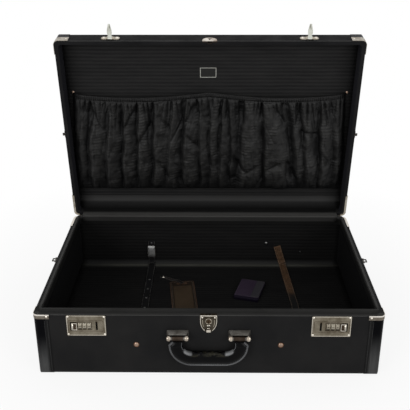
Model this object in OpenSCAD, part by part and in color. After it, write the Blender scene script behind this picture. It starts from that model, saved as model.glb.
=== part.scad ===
// Hard leather-covered suitcase with a hinged lid, two dial locks and a key lock.
// Origin: centre of the base's underside. X to the right, Y to the back, Z up. Millimetres.
// Each half is drawn as a cup that stands on its outer panel; the lid's cup is turned over onto the seam.

/* [Case] */
// Width of the case over its leather
case_w = 665; // [600:5:760]
// Depth of the case from its front face to its rear face
case_d = 444; // [420:4:500]
// Height of the base up to the seam
base_h = 137; // [130:1:170]
// Height of the lid above the seam
lid_h = 47; // [45:1:70]
// Gap between the two rims when the lid is shut
seam_gap = 0.3; // [0.2:0.05:0.6]
// Angle at which the lid stands open at rest
lid_open = 80.7; // [70:0.1:100]
// Radius of the upright corners
corner_r = 9; // [8.5:0.5:16]
// Radius of the edges round the bottom and the top panel
edge_r = 8; // [3:0.5:8]

/* [Walls] */
// Thickness of the leather cover
leather_t = 1.5; // [1:0.1:2]
// Thickness of the base's board
board_t = 5.5; // [5:0.1:6.5]
// Thickness of the lid's board
lid_board_t = 5; // [4:0.1:5.3]
// Thickness of the lining
lining_t = 1.5; // [1:0.1:1.8]
// Radius of the lining's upright corners
inner_r = 7; // [5.5:0.5:12]
// Height of the inner lip above the base's rim
lip_h = 7; // [4:0.5:10]
// Thickness of the inner lip
lip_t = 4.5; // [3:0.5:5]
// Depth of the inner lip below the base's rim
lip_skirt = 15; // [8:1:20]
// Radius of the padded fold along the rear of the base's floor
base_cove_r = 14; // [8:1:20]
// Radius of the padded fold along the rear of the lid
lid_cove_r = 25; // [12:1:27]

/* [Corners] */
// Thickness of the leather corner covers
cover_t = 1; // [0.6:0.1:1.5]
// Width of a leather corner cover on each face
cover_leg = 28; // [20:1:40]
// Thickness of the metal corner plates
plate_t = 0.8; // [0.5:0.1:1.2]
// Length of a front corner plate on each face
front_leg = 30; // [24:1:40]
// Length of a rear corner plate along the side
rear_leg = 55; // [40:1:80]
// Height of the corner plates on the base
base_plate_h = 9.5; // [8:0.5:16]
// Height of the corner plates on the lid
lid_plate_h = 20; // [12:1:24]
// Width of the rear corner plates' wrap over the rim
wrap_w = 3; // [2:0.5:5]

/* [Hinges] */
// Distance of each hinge's middle from the side of the case
hinge_inset = 100; // [70:1:180]
// Width of a hinge
hinge_w = 44; // [36:1:60]
// Height of a hinge leaf
leaf_h = 22; // [16:1:28]
// Thickness of a hinge leaf
leaf_t = 1.2; // [0.8:0.1:1.6]
// Radius of the hinge knuckles
knuckle_r = 3; // [2.5:0.1:4]
// Radius of the hinge pins
hinge_pin_r = 1.25; // [1:0.05:1.6]

/* [Dial locks] */
// Distance of each dial lock's middle from the side of the case
lock_inset = 99.5; // [90:0.5:130]
// Width of a lock plate
lock_w = 75; // [74:0.5:90]
// Height of a lock plate
lock_h = 45; // [42:0.5:46]
// Distance of a lock plate's top edge below the rim
lock_drop = 1.5; // [1:0.5:4]
// Thickness of the face plates
face_t = 1.2; // [0.8:0.1:1.6]
// Radius of a dial
dial_r = 9; // [8:0.1:9.2]
// Width of a dial
dial_w = 6; // [5:0.1:6.6]
// Distance from one dial to the next
dial_pitch = 8.8; // [8.6:0.1:9.2]
// Height by which a dial stands proud of its face plate
dial_proud = 2.2; // [1.5:0.1:3]
// Radius of the dials' spindle
spindle_r = 1.6; // [1.2:0.1:2]
// Travel of a lock's slide button
button_travel = 4; // [2:0.5:4]

/* [Hasps] */
// Distance of the hasp's hinge axis from the lid's rim
hasp_rise = 8; // [7:0.5:12]
// Width of a hasp plate
hasp_plate_w = 40; // [36:1:48]
// Length of a hasp tongue from its hinge axis
tongue_l = 32; // [30:0.5:34]
// Radius of the hasp pins
hasp_pin_r = 1; // [0.8:0.05:1.2]

/* [Key lock] */
// Width of the shield
shield_w = 32.6; // [30:0.2:40]
// Height of the shield
shield_h = 36; // [34:0.5:40]
// Radius of the key barrel
barrel_r = 4.5; // [3.5:0.1:5]
// Travel of the key lock's slide button
latch_travel = 3; // [1.5:0.5:3]

/* [Handle] */
// Distance of each handle mount's middle from the middle of the case
handle_x = 59; // [52:0.5:80]
// Height of the handle's pins above the underside
handle_pin_z = 91; // [84:0.5:95]
// Distance of the handle's pins in front of the front face
handle_pin_out = 9.5; // [9.3:0.1:14]
// Distance from the pins down to the middle of the grip
grip_drop = 44.4; // [44:0.2:56]
// Height of the grip's section at its middle
grip_tall = 28; // [18:0.5:30]
// Thickness of the grip from front to back
grip_deep = 17; // [13:0.5:17.5]
// Radius of the grip's bend along its middle line
grip_bend_r = 30; // [26:0.5:34]

/* [Side catches] */
// Length of a side catch loop
loop_l = 6; // [5:0.5:7]
// Thickness of a side catch loop's wire
loop_wire = 2; // [1.6:0.1:2.2]

/* [Inside] */
// Width of the lid's gathered pocket
pocket_w = 612; // [500:4:616]
// Distance of the pocket's top edge from the rear face
pocket_top = 314; // [240:1:330]
// Distance of the pocket's bottom edge from the rear face
pocket_low = 54; // [44:1:80]
// Distance by which the pocket stands off the panel at its fullest
pocket_full = 17; // [12:0.5:20]
// Number of the pocket's folds
pocket_folds = 24; // [12:1:24]
// Width of the packing straps
strap_w = 17.5; // [12:0.5:18]
// Thickness of the packing straps
strap_t = 2.2; // [1.4:0.1:2.6]
// Distance of the strap rivets from the middle of the case
rivet_x = 139; // [120:1:180]
// Height of the strap rivets above the underside
rivet_z = 70; // [40:1:80]
// Width of the label plate
label_w = 37; // [30:0.5:44]
// Height of the label plate
label_h = 24; // [18:0.5:28]

/* [Loose pieces] */
// Length of the luggage tag
tag_l = 130; // [90:1:140]
// Width of the luggage tag
tag_w = 56; // [40:1:60]
// Length of the key pouch
pouch_l = 84; // [60:1:90]
// Width of the key pouch
pouch_w = 58; // [45:1:62]

/* [Hidden] */
$fn = 48;

// Clearances
run = 0.05;
slack = 0.3;
soft_gap = 0.3;
lip_gap = 0.5;
over = 1;

// The case's walls and places
base_wall = leather_t + board_t + lining_t;
lid_wall = min(leather_t + lid_board_t + lining_t, base_wall - lip_gap);
lid_liner_t = lid_wall - leather_t - lid_board_t;
floor_z = base_wall;
front_y = -case_d / 2;
rear_y = case_d / 2;
side_x = case_w / 2;
inner_y = rear_y - base_wall;
hinge_off = knuckle_r + 0.2;
hinge_y = rear_y + hinge_off;
hinge_z = base_h + seam_gap / 2;
hinge_x = side_x - hinge_inset;
segment = hinge_w / 5;

// The dial locks, from the middle of a plate: outer side of the case at -X, depth at +Y
lock_x = side_x - lock_inset;
lock_top = base_h - lock_drop;
lock_mid_z = lock_top - lock_h / 2;
case_half = 33;
case_low = -19;
case_high = 18;
case_deep = 17;
case_skin = 1;
dial_z = -0.6;
dial_y = dial_r - face_t - dial_proud;
first_dial = -11.7;
dial_window_h = 2 * sqrt(dial_r * dial_r - dial_y * dial_y) + 1.2;
web_t = 1;
web_left = first_dial - dial_w / 2 - 1.7;
web_right = first_dial + 2 * dial_pitch + dial_w / 2 + 0.7;
collar_r = 3.2;
button_w = 8;
button_x = -26.6;
button_low = -9;
button_tall = 15;
button_window_w = button_w + button_travel + 2 * slack;
slider_low = -16;
slider_high = 10;
slider_y = 0.4;
slider_t = 3.4;
arm_low = -16.8;
arm_high = -12.2;
slot_x = 20;
slot_w = 3.7;
nose_tip = 21.8;
nose_post = 15;
post_w = 2.4;

// The hasps: a tongue hangs from its axis when locked and stands square to the lid at rest
hasp_out = 2.9;
hasp_knuckle_r = 2.6;
tongue_t = 1.8;
tongue_back = 1.6;
blade_t = 2.4;
blade_deep = 8.6;
blade_z1 = base_h + seam_gap + hasp_rise - tongue_l;
blade_tall = 8.5;
nose_z = blade_z1 + 3;
nose_tall = 3;
slot_low = blade_z1 - lock_mid_z - 9.8;
slot_high = blade_z1 + blade_tall - lock_mid_z + 0.5;

// The key lock
shield_top = base_h;
flange_deep = 6;
flange_t = 1;
barrel_z = base_h - 13.4;
latch_z = base_h - shield_h + 2.2;
staple_w = 8;
staple_t = 2;
staple_y = 2.6;
staple_drop = 6;
catch_tall = 2;
hasp_w = shield_w - 1.2;
hasp_tall = 18.8;
hasp_flange = 3.5;

// The handle
eye_half = 10.5;
ear_t = 2.2;
knob_end = 21.8;
knob_r = 6;
handle_pin_r = 2.5;
eye_r = 5;
grip_top = 6;
grip_bottom_z = handle_pin_z - grip_drop;
grip_mid_x = handle_x + 4;
core_a = 4;
core_b = 1.5;

// The side catches
pivot_out = 2.6;
pivot_z = base_h - 2.5;
loop_half = 5;

// The soft pieces inside
strap_lift = 1.7;
pocket_cloth = 1.6;
pocket_spread = [1.034, 1.034, 1.03, 1.022, 1.008, 1];
stud_out = 6;
label_x = -3.5;
label_y = rear_y - 357.5;

// The loose pieces on the floor and the tab on the rear wall
tag_x = -60;
tag_y = 57;
tag_angle = 6;
tag_t = 3;
pouch_x = 94.5;
pouch_y = 77;
pouch_angle = -16;
pouch_t = 10;
tab_x = 141;
tab_z = 69;
tab_l = 26;
tab_w = 13;
tab_t = 1.6;

function arc(c, r, a0, a1, n) =
    [for (i = [0:n]) let (a = a0 + (a1 - a0) * i / n) [c[0] + r * cos(a), c[1] + r * sin(a)]];
function reversed(v) = [for (i = [len(v) - 1:-1:0]) v[i]];
function unit(v) = v / norm(v);

// A rectangle about the origin with round corners
module round_rect(w, d, r) {
    square([w - 2 * r, d], center = true);
    square([w, d - 2 * r], center = true);
    for (x = [-1, 1], y = [-1, 1])
        translate([x * (w / 2 - r), y * (d / 2 - r)])
            circle(r);
}

// The outline of a cup seen from its side, with round corners at its foot
module cup_side(w, h, r) {
    translate([-w / 2, r])
        square([w, h - r]);
    translate([-w / 2 + r, 0])
        square([w - 2 * r, h]);
    for (x = [-1, 1])
        translate([x * (w / 2 - r), r])
            circle(r);
}

// A solid block of the case's plan, grown or shrunk by inset, with round edges at its foot
module cup(inset, h, foot) {
    w = case_w - 2 * inset;
    d = case_d - 2 * inset;
    intersection() {
        linear_extrude(h)
            round_rect(w, d, corner_r - inset);
        rotate([90, 0, 0])
            linear_extrude(d + 2, center = true)
                cup_side(w, h, foot);
        rotate([90, 0, 90])
            linear_extrude(w + 2, center = true)
                cup_side(d, h, foot);
    }
}

// A straight block of the case's plan inside the walls
module well(inset, z0, z1, r) {
    translate([0, 0, z0])
        linear_extrude(z1 - z0)
            round_rect(case_w - 2 * inset, case_d - 2 * inset, r);
}

// The leather over one half: sides, panel and rim
module leather_cup(h, wall) {
    difference() {
        cup(0, h, edge_r);
        translate([0, 0, leather_t])
            cup(leather_t, h - 2 * leather_t, edge_r - leather_t);
        well(wall, h / 2, h + over, inner_r);
    }
}

// The board of one half
module board_cup(h, board) {
    difference() {
        translate([0, 0, leather_t])
            cup(leather_t, h - 2 * leather_t, edge_r - leather_t);
        well(leather_t + board, leather_t + board, h + over, inner_r + lining_t);
    }
}

// The lining of one half, with the padded fold along its rear
module lining_cup(h, board, liner, cove_r) {
    wall = leather_t + board + liner;
    difference() {
        well(leather_t + board, leather_t + board, h - leather_t, inner_r + lining_t);
        well(wall, wall, h + over, inner_r);
    }
    translate([-side_x + wall + inner_r, rear_y - wall, wall])
        rotate([90, 0, 90])
            linear_extrude(case_w - 2 * wall - 2 * inner_r)
                polygon(concat([[0.5, -0.5], [0.5, cove_r]], arc([-cove_r, cove_r], cove_r, 0, -90, 6), [[-cove_r, -0.5]]));
}

// The parts of the plan that belong to the corners: front legs, side legs at the front and at the rear
module corner_zones(front, side_front, side_rear, h) {
    grow = cover_t + plate_t + over;
    for (x = [-1, 1])
        scale([x, 1, 1]) {
            translate([side_x - front, front_y - grow, -over])
                cube([front + grow, side_front + grow, h + 2 * over]);
            translate([side_x - front, rear_y - side_rear, -over])
                cube([front + grow, side_rear + grow, h + 2 * over]);
        }
}

// The leather corner covers of one half
module covers(h) {
    intersection() {
        difference() {
            cup(-cover_t, h, edge_r);
            cup(0, h + over, edge_r);
        }
        corner_zones(cover_leg, cover_leg, cover_leg, h);
    }
}

// The rear corner plates' wrap over the rim of one half
module rim_wraps(h) {
    intersection() {
        difference() {
            translate([0, 0, h - plate_t])
                linear_extrude(plate_t)
                    round_rect(case_w + 2 * cover_t, case_d + 2 * cover_t, corner_r + cover_t);
            well(wrap_w, h - plate_t - over, h + over, corner_r - wrap_w);
        }
        corner_zones(11, 0, rear_leg, h);
        translate([-case_w, 0, 0])
            cube([2 * case_w, case_d, 2 * h]);
    }
}

// The metal corner plates of one half
module plates(h, tall) {
    intersection() {
        difference() {
            cup(-cover_t - plate_t, h, edge_r);
            cup(-cover_t, h + over, edge_r);
            translate([0, 0, -over])
                cube([2 * case_w, 2 * case_d, 2 * (h - tall + over)], center = true);
        }
        corner_zones(front_leg, front_leg, rear_leg, h);
    }
    rim_wraps(h);
}

// A domed rivet head that stands on the plane Z = 0
module rivet_head(r, t) {
    rotate_extrude()
        polygon(concat([[0, 0], [r, 0]], arc([0, -r * r / (2 * t) + t / 2], r * r / (2 * t) + t / 2,
            asin((r * r / (2 * t) - t / 2) / (r * r / (2 * t) + t / 2)), 90, 5)));
}

// Rivets of the corner plates of one half, at the inner end of each leg
module corner_rivet_heads(h, tall) {
    z = h - tall / 2;
    out = cover_t + plate_t;
    for (x = [-1, 1]) {
        translate([x * (side_x - front_leg + 5), front_y - out, z])
            rotate([90, 0, 0])
                rivet_head(2.2, 1.1);
        translate([x * (side_x - front_leg + 5), rear_y + out, z])
            rotate([-90, 0, 0])
                rivet_head(2.2, 1.1);
        translate([x * (side_x + out), front_y + front_leg - 5, z])
            rotate([0, x * 90, 0])
                rivet_head(2.2, 1.1);
        translate([x * (side_x + out), rear_y - rear_leg + 5, z])
            rotate([0, x * 90, 0])
                rivet_head(2.2, 1.1);
    }
}

// Places a piece of a dial lock: side -1 for the left lock, 1 for the right one
module lock_place(side) {
    translate([side * lock_x, front_y, lock_mid_z])
        scale([-side, 1, 1])
            children();
}

// Places a piece of the key lock, from the middle of the rim's front edge
module key_place() {
    translate([0, front_y, 0])
        children();
}

// Places the lid's cup: turned over, set on the seam and swung open
module lid_pose() {
    translate([0, hinge_y, hinge_z])
        rotate([-lid_open, 0, 0])
            translate([0, -hinge_y, -hinge_z])
                children();
}
module lid_cup() {
    lid_pose()
        translate([0, 0, base_h + seam_gap + lid_h])
            mirror([0, 0, 1])
                children();
}

// The room that a dial lock's case takes in the front wall
module lock_room() {
    translate([-case_half, 0, case_low])
        cube([2 * case_half, case_deep, case_high - case_low]);
}

// The shield's outline, from the rim's front edge at the origin down to its blunt tip
module shield_outline(w, h) {
    foot = 12 * w / shield_w;
    drop = h - 14;
    bulge = (w - foot) / 2;
    r = (drop * drop + bulge * bulge) / (2 * bulge);
    translate([-w / 2, -14])
        square([w, 14]);
    intersection() {
        translate([-w / 2, -h])
            square([w, drop + over]);
        translate([w / 2 - r, -14])
            circle(r, $fn = 160);
        translate([r - w / 2, -14])
            circle(r, $fn = 160);
    }
}

// The room that the key lock's case takes in the front wall
module key_room(grow) {
    rotate([90, 0, 0])
        translate([0, 0, -13])
            linear_extrude(13)
                translate([0, base_h - flange_t])
                    shield_outline(shield_w - 1.6 + 2 * grow, shield_h - 0.8 + grow - flange_t);
}

// Cuts for everything that passes through the front wall
module front_wall_cuts() {
    for (side = [-1, 1]) {
        lock_place(side)
            lock_room();
        translate([side * rivet_x, front_y - over, rivet_z])
            rotate([-90, 0, 0])
                cylinder(r = 1.8, h = base_wall + 2 * over);
    }
    key_place()
        key_room(0);
}

module base_shell() {
    color("#6b5a45")
        difference() {
            board_cup(base_h, board_t);
            front_wall_cuts();
        }
}

module base_leather() {
    color("#1d1d1f")
        difference() {
            leather_cup(base_h, base_wall);
            front_wall_cuts();
            rim_wraps(base_h);
            key_place()
                translate([-shield_w / 2, -over, base_h - flange_t])
                    cube([shield_w, flange_deep + over, flange_t + over]);
        }
}

module base_lining() {
    color("#232326")
        difference() {
            lining_cup(base_h, board_t, lining_t, base_cove_r);
            front_wall_cuts();
        }
}

module base_lip() {
    color("#2a2a2c")
        difference() {
            well(base_wall, base_h - lip_skirt, base_h + lip_h, inner_r);
            well(base_wall + lip_t, base_h - lip_skirt - over, base_h + lip_h + over, inner_r - lip_t);
            front_wall_cuts();
        }
}

module base_corner_covers() {
    color("#303033")
        difference() {
            covers(base_h);
            rim_wraps(base_h);
        }
}

module base_corner_plates() {
    color("#b9b3a8")
        plates(base_h, base_plate_h);
}

module base_rivets() {
    color("#d0cbc0") {
        corner_rivet_heads(base_h, base_plate_h);
        for (side = [-1, 1])
            lock_place(side)
                for (x = [-1, 1], z = [-1, 1])
                    translate([x * (lock_w / 2 - 3.2), -face_t, z * (lock_h / 2 - 3.2)])
                        rotate([90, 0, 0])
                            rivet_head(1.9, 0.9);
        for (x = [-1, 1]) {
            translate([x * (shield_w / 2 - 4.5), front_y - face_t, base_h - 5.5])
                rotate([90, 0, 0])
                    rivet_head(1.7, 0.8);
            for (s = [-1, 1])
                translate([x * hinge_x + s * (hinge_w / 2 - 8), rear_y + leaf_t, base_h - leaf_h / 2 - 3])
                    rotate([-90, 0, 0])
                        rivet_head(2.2, 0.8);
        }
    }
}

// A hinge leaf that hangs from the axis; odd says which of the five knuckles it holds
module leaf(odd) {
    held = odd ? [0, 2, 4] : [1, 3];
    free = odd ? [1, 3] : [0, 2, 4];
    difference() {
        union() {
            translate([-hinge_w / 2, 0, -leaf_h])
                cube([hinge_w, leaf_t, leaf_h - seam_gap / 2]);
            for (i = held)
                translate([-hinge_w / 2 + i * segment + seam_gap / 2, hinge_off, 0])
                    rotate([0, 90, 0])
                        cylinder(r = knuckle_r, h = segment - seam_gap);
        }
        for (i = free)
            translate([-hinge_w / 2 + i * segment, hinge_off, 0])
                rotate([0, 90, 0])
                    cylinder(r = knuckle_r + slack, h = segment);
        translate([-hinge_w / 2 - over, hinge_off, 0])
            rotate([0, 90, 0])
                cylinder(r = odd ? hinge_pin_r : hinge_pin_r + run, h = hinge_w + 2 * over);
    }
}

module base_hinge_leaves() {
    color("#a8a299")
        for (x = [-1, 1])
            translate([x * hinge_x, rear_y, hinge_z])
                leaf(true);
}

module lid_hinge_leaves() {
    color("#a8a299")
        lid_pose()
            for (x = [-1, 1])
                translate([x * hinge_x, rear_y, hinge_z])
                    mirror([0, 0, 1])
                        leaf(false);
}

module hinge_pins() {
    color("#8f8a82")
        for (x = [-1, 1])
            translate([x * hinge_x - hinge_w / 2, hinge_y, hinge_z])
                rotate([0, 90, 0])
                    cylinder(r = hinge_pin_r, h = hinge_w);
}

// A lock's face plate with its dial windows, button window and hasp slot
module lock_plate() {
    difference() {
        rotate([90, 0, 0])
            linear_extrude(face_t)
                round_rect(lock_w, lock_h, 2);
        for (i = [0:2])
            translate([first_dial + i * dial_pitch - dial_w / 2 - slack, -face_t - over, dial_z - dial_window_h / 2])
                cube([dial_w + 2 * slack, face_t + 2 * over, dial_window_h]);
        translate([button_x - button_travel - slack, -face_t - over, button_low - 2])
            cube([button_window_w, face_t + 2 * over, button_tall + 4]);
        translate([slot_x - slot_w / 2, -face_t - over, slot_low])
            cube([slot_w, face_t + 2 * over, slot_high - slot_low]);
    }
}

module lock_plates() {
    color("#c4beb2")
        for (side = [-1, 1])
            lock_place(side)
                lock_plate();
}

// A lock's case: a tray behind the plate with two webs that hold the spindle
module lock_case() {
    room_low = case_low + case_skin;
    room_tall = case_high - case_low - 2 * case_skin;
    deep = case_deep - case_skin;
    difference() {
        lock_room();
        translate([-case_half + case_skin, -over, room_low])
            cube([web_left - web_t + case_half - case_skin, deep + over, room_tall]);
        translate([web_left, -over, room_low])
            cube([web_right - web_left, deep + over, room_tall]);
        translate([web_right + web_t, -over, room_low])
            cube([case_half - case_skin - web_right - web_t, deep + over, room_tall]);
        translate([web_left - 2 * web_t, -over, room_low])
            cube([web_right - web_left + 4 * web_t, slider_y + slider_t + slack + over, arm_high + slack - room_low]);
        translate([web_left - 2 * web_t, dial_y, dial_z])
            rotate([0, 90, 0])
                cylinder(r = spindle_r, h = web_right - web_left + 4 * web_t);
    }
}

module lock_cases() {
    color("#8d8a86")
        for (side = [-1, 1])
            lock_place(side)
                lock_case();
}

// A spindle with collars that keep the dials apart
module lock_spindle() {
    translate([web_left - web_t, dial_y, dial_z])
        rotate([0, 90, 0])
            cylinder(r = spindle_r, h = web_right - web_left + 2 * web_t);
    for (i = [0, 1])
        translate([first_dial + i * dial_pitch + dial_w / 2 + slack, dial_y, dial_z])
            rotate([0, 90, 0])
                cylinder(r = collar_r, h = dial_pitch - dial_w - 2 * slack);
    translate([web_left, dial_y, dial_z])
        rotate([0, 90, 0])
            cylinder(r = collar_r, h = first_dial - dial_w / 2 - slack - web_left);
    translate([web_right, dial_y, dial_z])
        rotate([0, -90, 0])
            cylinder(r = collar_r, h = web_right - first_dial - 2 * dial_pitch - dial_w / 2 - slack);
}

module lock_spindles() {
    color("#77746f")
        for (side = [-1, 1])
            lock_place(side)
                lock_spindle();
}

// One dial with ten finger notches, number 0 to 2 counted from the outer side of the case
module dial(side, number) {
    color("#d8d2c6")
        lock_place(side)
            translate([first_dial + number * dial_pitch - dial_w / 2, dial_y, dial_z])
                rotate([0, 90, 0])
                    difference() {
                        cylinder(r = dial_r, h = dial_w);
                        translate([0, 0, -over])
                            cylinder(r = spindle_r + run, h = dial_w + 2 * over);
                        for (a = [0:9])
                            rotate([0, 0, 36 * a + 18])
                                translate([dial_r - 0.5, -0.6, -over])
                                    cube([1, 1.2, dial_w + 2 * over]);
                    }
}

// A lock's slide button with the bolt that it carries past the dials to the hasp slot
module lock_button(side) {
    color("#cfc9bd")
        lock_place(side) {
            translate([button_x, -face_t - 1.4, button_low])
                cube([button_w, face_t + 1.4 + slider_y + over, button_tall]);
            translate([button_x, slider_y, slider_low])
                cube([button_w + 0.4, slider_t, slider_high - slider_low]);
            translate([button_x, slider_y, arm_low])
                cube([nose_post + post_w - button_x, slider_t, arm_high - arm_low]);
            translate([nose_post, slider_y, arm_low])
                cube([post_w, 6, nose_z - lock_mid_z + nose_tall - arm_low]);
            translate([nose_post, 3.8, nose_z - lock_mid_z])
                cube([nose_tip - nose_post, 2.4, nose_tall]);
        }
}

// The spring that pushes a lock's bolt home
module lock_spring(side) {
    color("#9a9690")
        lock_place(side)
            translate([-case_half + case_skin, slider_y + slider_t / 2, 8])
                rotate([0, 90, 0])
                    difference() {
                        cylinder(r = 1.5, h = button_x + case_half - case_skin);
                        translate([0, 0, -over])
                            cylinder(r = 1, h = case_half);
                    }
}

// The key lock's shield with its flange over the rim
module key_lock_plate() {
    color("#c4beb2")
        key_place()
            difference() {
                union() {
                    rotate([90, 0, 0])
                        linear_extrude(face_t)
                            translate([0, shield_top])
                                shield_outline(shield_w, shield_h);
                    translate([-shield_w / 2, -face_t, shield_top - flange_t])
                        cube([shield_w, flange_deep + face_t, flange_t]);
                }
                translate([0, -face_t - over, barrel_z])
                    rotate([-90, 0, 0])
                        cylinder(r = barrel_r + run, h = face_t + 2 * over);
                translate([-3 - latch_travel - slack, -face_t - over, latch_z])
                    cube([6 + latch_travel + 2 * slack, face_t + 2 * over, 3.4]);
                translate([-staple_w / 2 - 0.8, staple_y - 0.5, shield_top - flange_t - over])
                    cube([staple_w + 1.6, staple_t + 1, flange_t + 2 * over]);
            }
}

// The key lock's case behind the shield
module key_lock_case() {
    color("#8d8a86")
        key_place()
            difference() {
                key_room(0);
                translate([0, -case_skin, 0])
                    key_room(-case_skin);
            }
}

// The key barrel with its keyhole and its tail
module key_barrel() {
    color("#d2ccbf")
        key_place()
            translate([0, 0, barrel_z])
                rotate([-90, 0, 0]) {
                    difference() {
                        translate([0, 0, -face_t - 1])
                            cylinder(r = barrel_r, h = face_t + 1 + 7.5);
                        translate([0, 0, -face_t - over - 1]) {
                            cylinder(r = 1.1, h = 6);
                            translate([-0.5, 0, 0])
                                cube([1, 2.9, 6]);
                        }
                    }
                    translate([-1.6, -6.2, 7.5])
                        cube([3.2, 7.8, 2]);
                }
}

// The key lock's sliding latch: its window leaves room for the barrel, its nose holds the staple
module key_lock_latch() {
    top = shield_top - flange_t - 1.2;
    hole = barrel_r + 0.6;
    color("#cfc9bd")
        key_place() {
            difference() {
                translate([-9, staple_y, barrel_z - hole - 2])
                    cube([18, staple_t, top - barrel_z + hole + 2]);
                translate([-latch_travel / 2 - hole + 1.5, staple_y - over, barrel_z - hole])
                    cube([2 * hole + latch_travel, staple_t + 2 * over, 2 * hole]);
                translate([-staple_w / 2 - 0.7, staple_y - over, barrel_z])
                    cube([2 * staple_w + 4, staple_t + 2 * over, 2 * hole + 4]);
            }
            translate([-staple_w / 2 - 1, staple_y, base_h - 3.9])
                cube([2.2, staple_t, 1.4]);
            translate([-3, staple_y, latch_z + 0.7])
                cube([6, staple_t, barrel_z - hole - 1.5 - latch_z]);
            translate([-3, -face_t - 0.6, latch_z + 0.7])
                cube([6, staple_y + face_t + 1, 2.4]);
            translate([-4, -face_t - 3, latch_z - 2.2])
                cube([8, 2.8, 5.6]);
        }
}

// One handle mount: wall plate, hood over the pin and two ears
module handle_mount() {
    out = -handle_pin_out;
    wide = knob_end - 1;
    difference() {
        union() {
            intersection() {
                rotate([90, 0, 90])
                    translate([0, 0, -wide])
                        linear_extrude(2 * wide)
                            polygon([[0, -9], [0, 13], [-1.6, 13.4], [out - 1.5, 9.6], [out - 1.9, 8.3],
                                [-1.6, 11.4], [-1.6, -9]]);
                translate([0, 0, -20])
                    linear_extrude(40)
                        polygon([[-wide, over], [-wide, -1.6], [4 - wide, out - 2], [wide - 4, out - 2],
                            [wide, -1.6], [wide, over]]);
            }
            for (x = [-1, 1])
                translate([x * (eye_half + 0.2 + ear_t / 2), 0, 0])
                    translate([-ear_t / 2, out, -4])
                        cube([ear_t, handle_pin_out, 8]);
            for (x = [-1, 1])
                translate([x * (eye_half + 0.2 + ear_t / 2) - ear_t / 2, out, 0])
                    rotate([0, 90, 0])
                        cylinder(r = 4, h = ear_t);
        }
        translate([-knob_end, out, 0])
            rotate([0, 90, 0])
                cylinder(r = handle_pin_r, h = 2 * knob_end);
    }
}

module handle_place() {
    for (x = [-1, 1])
        translate([x * handle_x, front_y, handle_pin_z])
            children();
}

module handle_mounts() {
    color("#7c7a78")
        handle_place()
            handle_mount();
}

// A handle pin with a rounded knob at each end
module handle_pins() {
    knob_start = eye_half + 0.2 + ear_t;
    knob_l = knob_end - knob_start;
    color("#d9d4ca")
        handle_place()
            translate([0, -handle_pin_out, 0]) {
                translate([-knob_start - 1, 0, 0])
                    rotate([0, 90, 0])
                        cylinder(r = handle_pin_r, h = 2 * knob_start + 2);
                for (x = [-1, 1])
                    translate([x * knob_start, 0, 0])
                        rotate([0, x * 90, 0])
                            rotate_extrude()
                                polygon(concat([[0, 0], [knob_r - 1.5, 0]],
                                    arc([knob_r - 3, 3], 3, -60, 0, 3),
                                    arc([knob_r - 4.4, knob_l - 4.4], 4.4, 0, 90, 6), [[0, knob_l]]));
            }
}

// The handle's steel eyes on the pins
module handle_eyes() {
    color("#4a3d33")
        handle_place()
            translate([0, -handle_pin_out, 0])
                difference() {
                    union() {
                        translate([-eye_half, 0, 0])
                            rotate([0, 90, 0])
                                cylinder(r = eye_r, h = 2 * eye_half);
                        translate([-core_a, -core_b, -grip_top])
                            cube([2 * core_a, 2 * core_b, grip_top]);
                    }
                    translate([-eye_half - over, 0, 0])
                        rotate([0, 90, 0])
                            cylinder(r = handle_pin_r + run, h = 2 * eye_half + 2 * over);
                }
}

// The middle line of the handle: [x, z, direction, half of the section's height, wave] from right to left
bend_x = grip_mid_x - grip_bend_r;
bend_z = grip_bottom_z + grip_bend_r;
start_z = handle_pin_z - grip_top;
function side_part(n) = [for (i = [0:n]) let (t = i / n, s = t * t * (3 - 2 * t))
    [handle_x + (grip_mid_x - handle_x) * s, start_z + (bend_z - start_z) * t, 270, 8 + (grip_tall / 2 - 9.5) * t, 0]];
function bend_part(n) = [for (i = [1:n]) let (a = -90 * i / n)
    [bend_x + grip_bend_r * cos(a), bend_z + grip_bend_r * sin(a), 270 + a, 8 + (grip_tall / 2 - 8) * (0.6 + 0.4 * i / n), 0]];
function bar_part(n) = [for (i = [1:n - 1]) let (x = bend_x - 2 * bend_x * i / n)
    [x, grip_bottom_z, 180, grip_tall / 2, cos(360 * x / 15)]];
half_line = concat(side_part(3), bend_part(8));
handle_line = concat(half_line, bar_part(18),
    reversed([for (p = half_line) [-p[0], p[1], 360 - p[2], p[3], p[4]]]));

// One ring of the handle's section, with a along the line's normal and b from front to back
function handle_ring(p, a, b, wave, n) = [for (k = [0:n - 1])
    let (t = 360 * k / n, u = (a + (cos(t) < 0 ? wave * p[4] : 0)) * cos(t), v = b * sin(t), d = p[2] + 90)
    [p[0] + u * cos(d), front_y - handle_pin_out + v, p[1] + u * sin(d)]];
function tube_faces(rings, n, flip) = [for (i = [0:rings - 2], k = [0:n - 1], half = [0, 1])
    let (a = i * n + k, b = i * n + (k + 1) % n, c = a + n, d = b + n)
    half == 0 ? (flip ? [a, c, b] : [a, b, c]) : (flip ? [b, c, d] : [b, d, c])];

module handle_core() {
    n = 12;
    rings = len(handle_line);
    points = [for (p = handle_line) each handle_ring(p, core_a, core_b, 0, n)];
    color("#8f8a82")
        polyhedron(points, concat(tube_faces(rings, n, true),
            [[for (k = [0:n - 1]) k], [for (k = [n - 1:-1:0]) (rings - 1) * n + k]]), convexity = 6);
}

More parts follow.
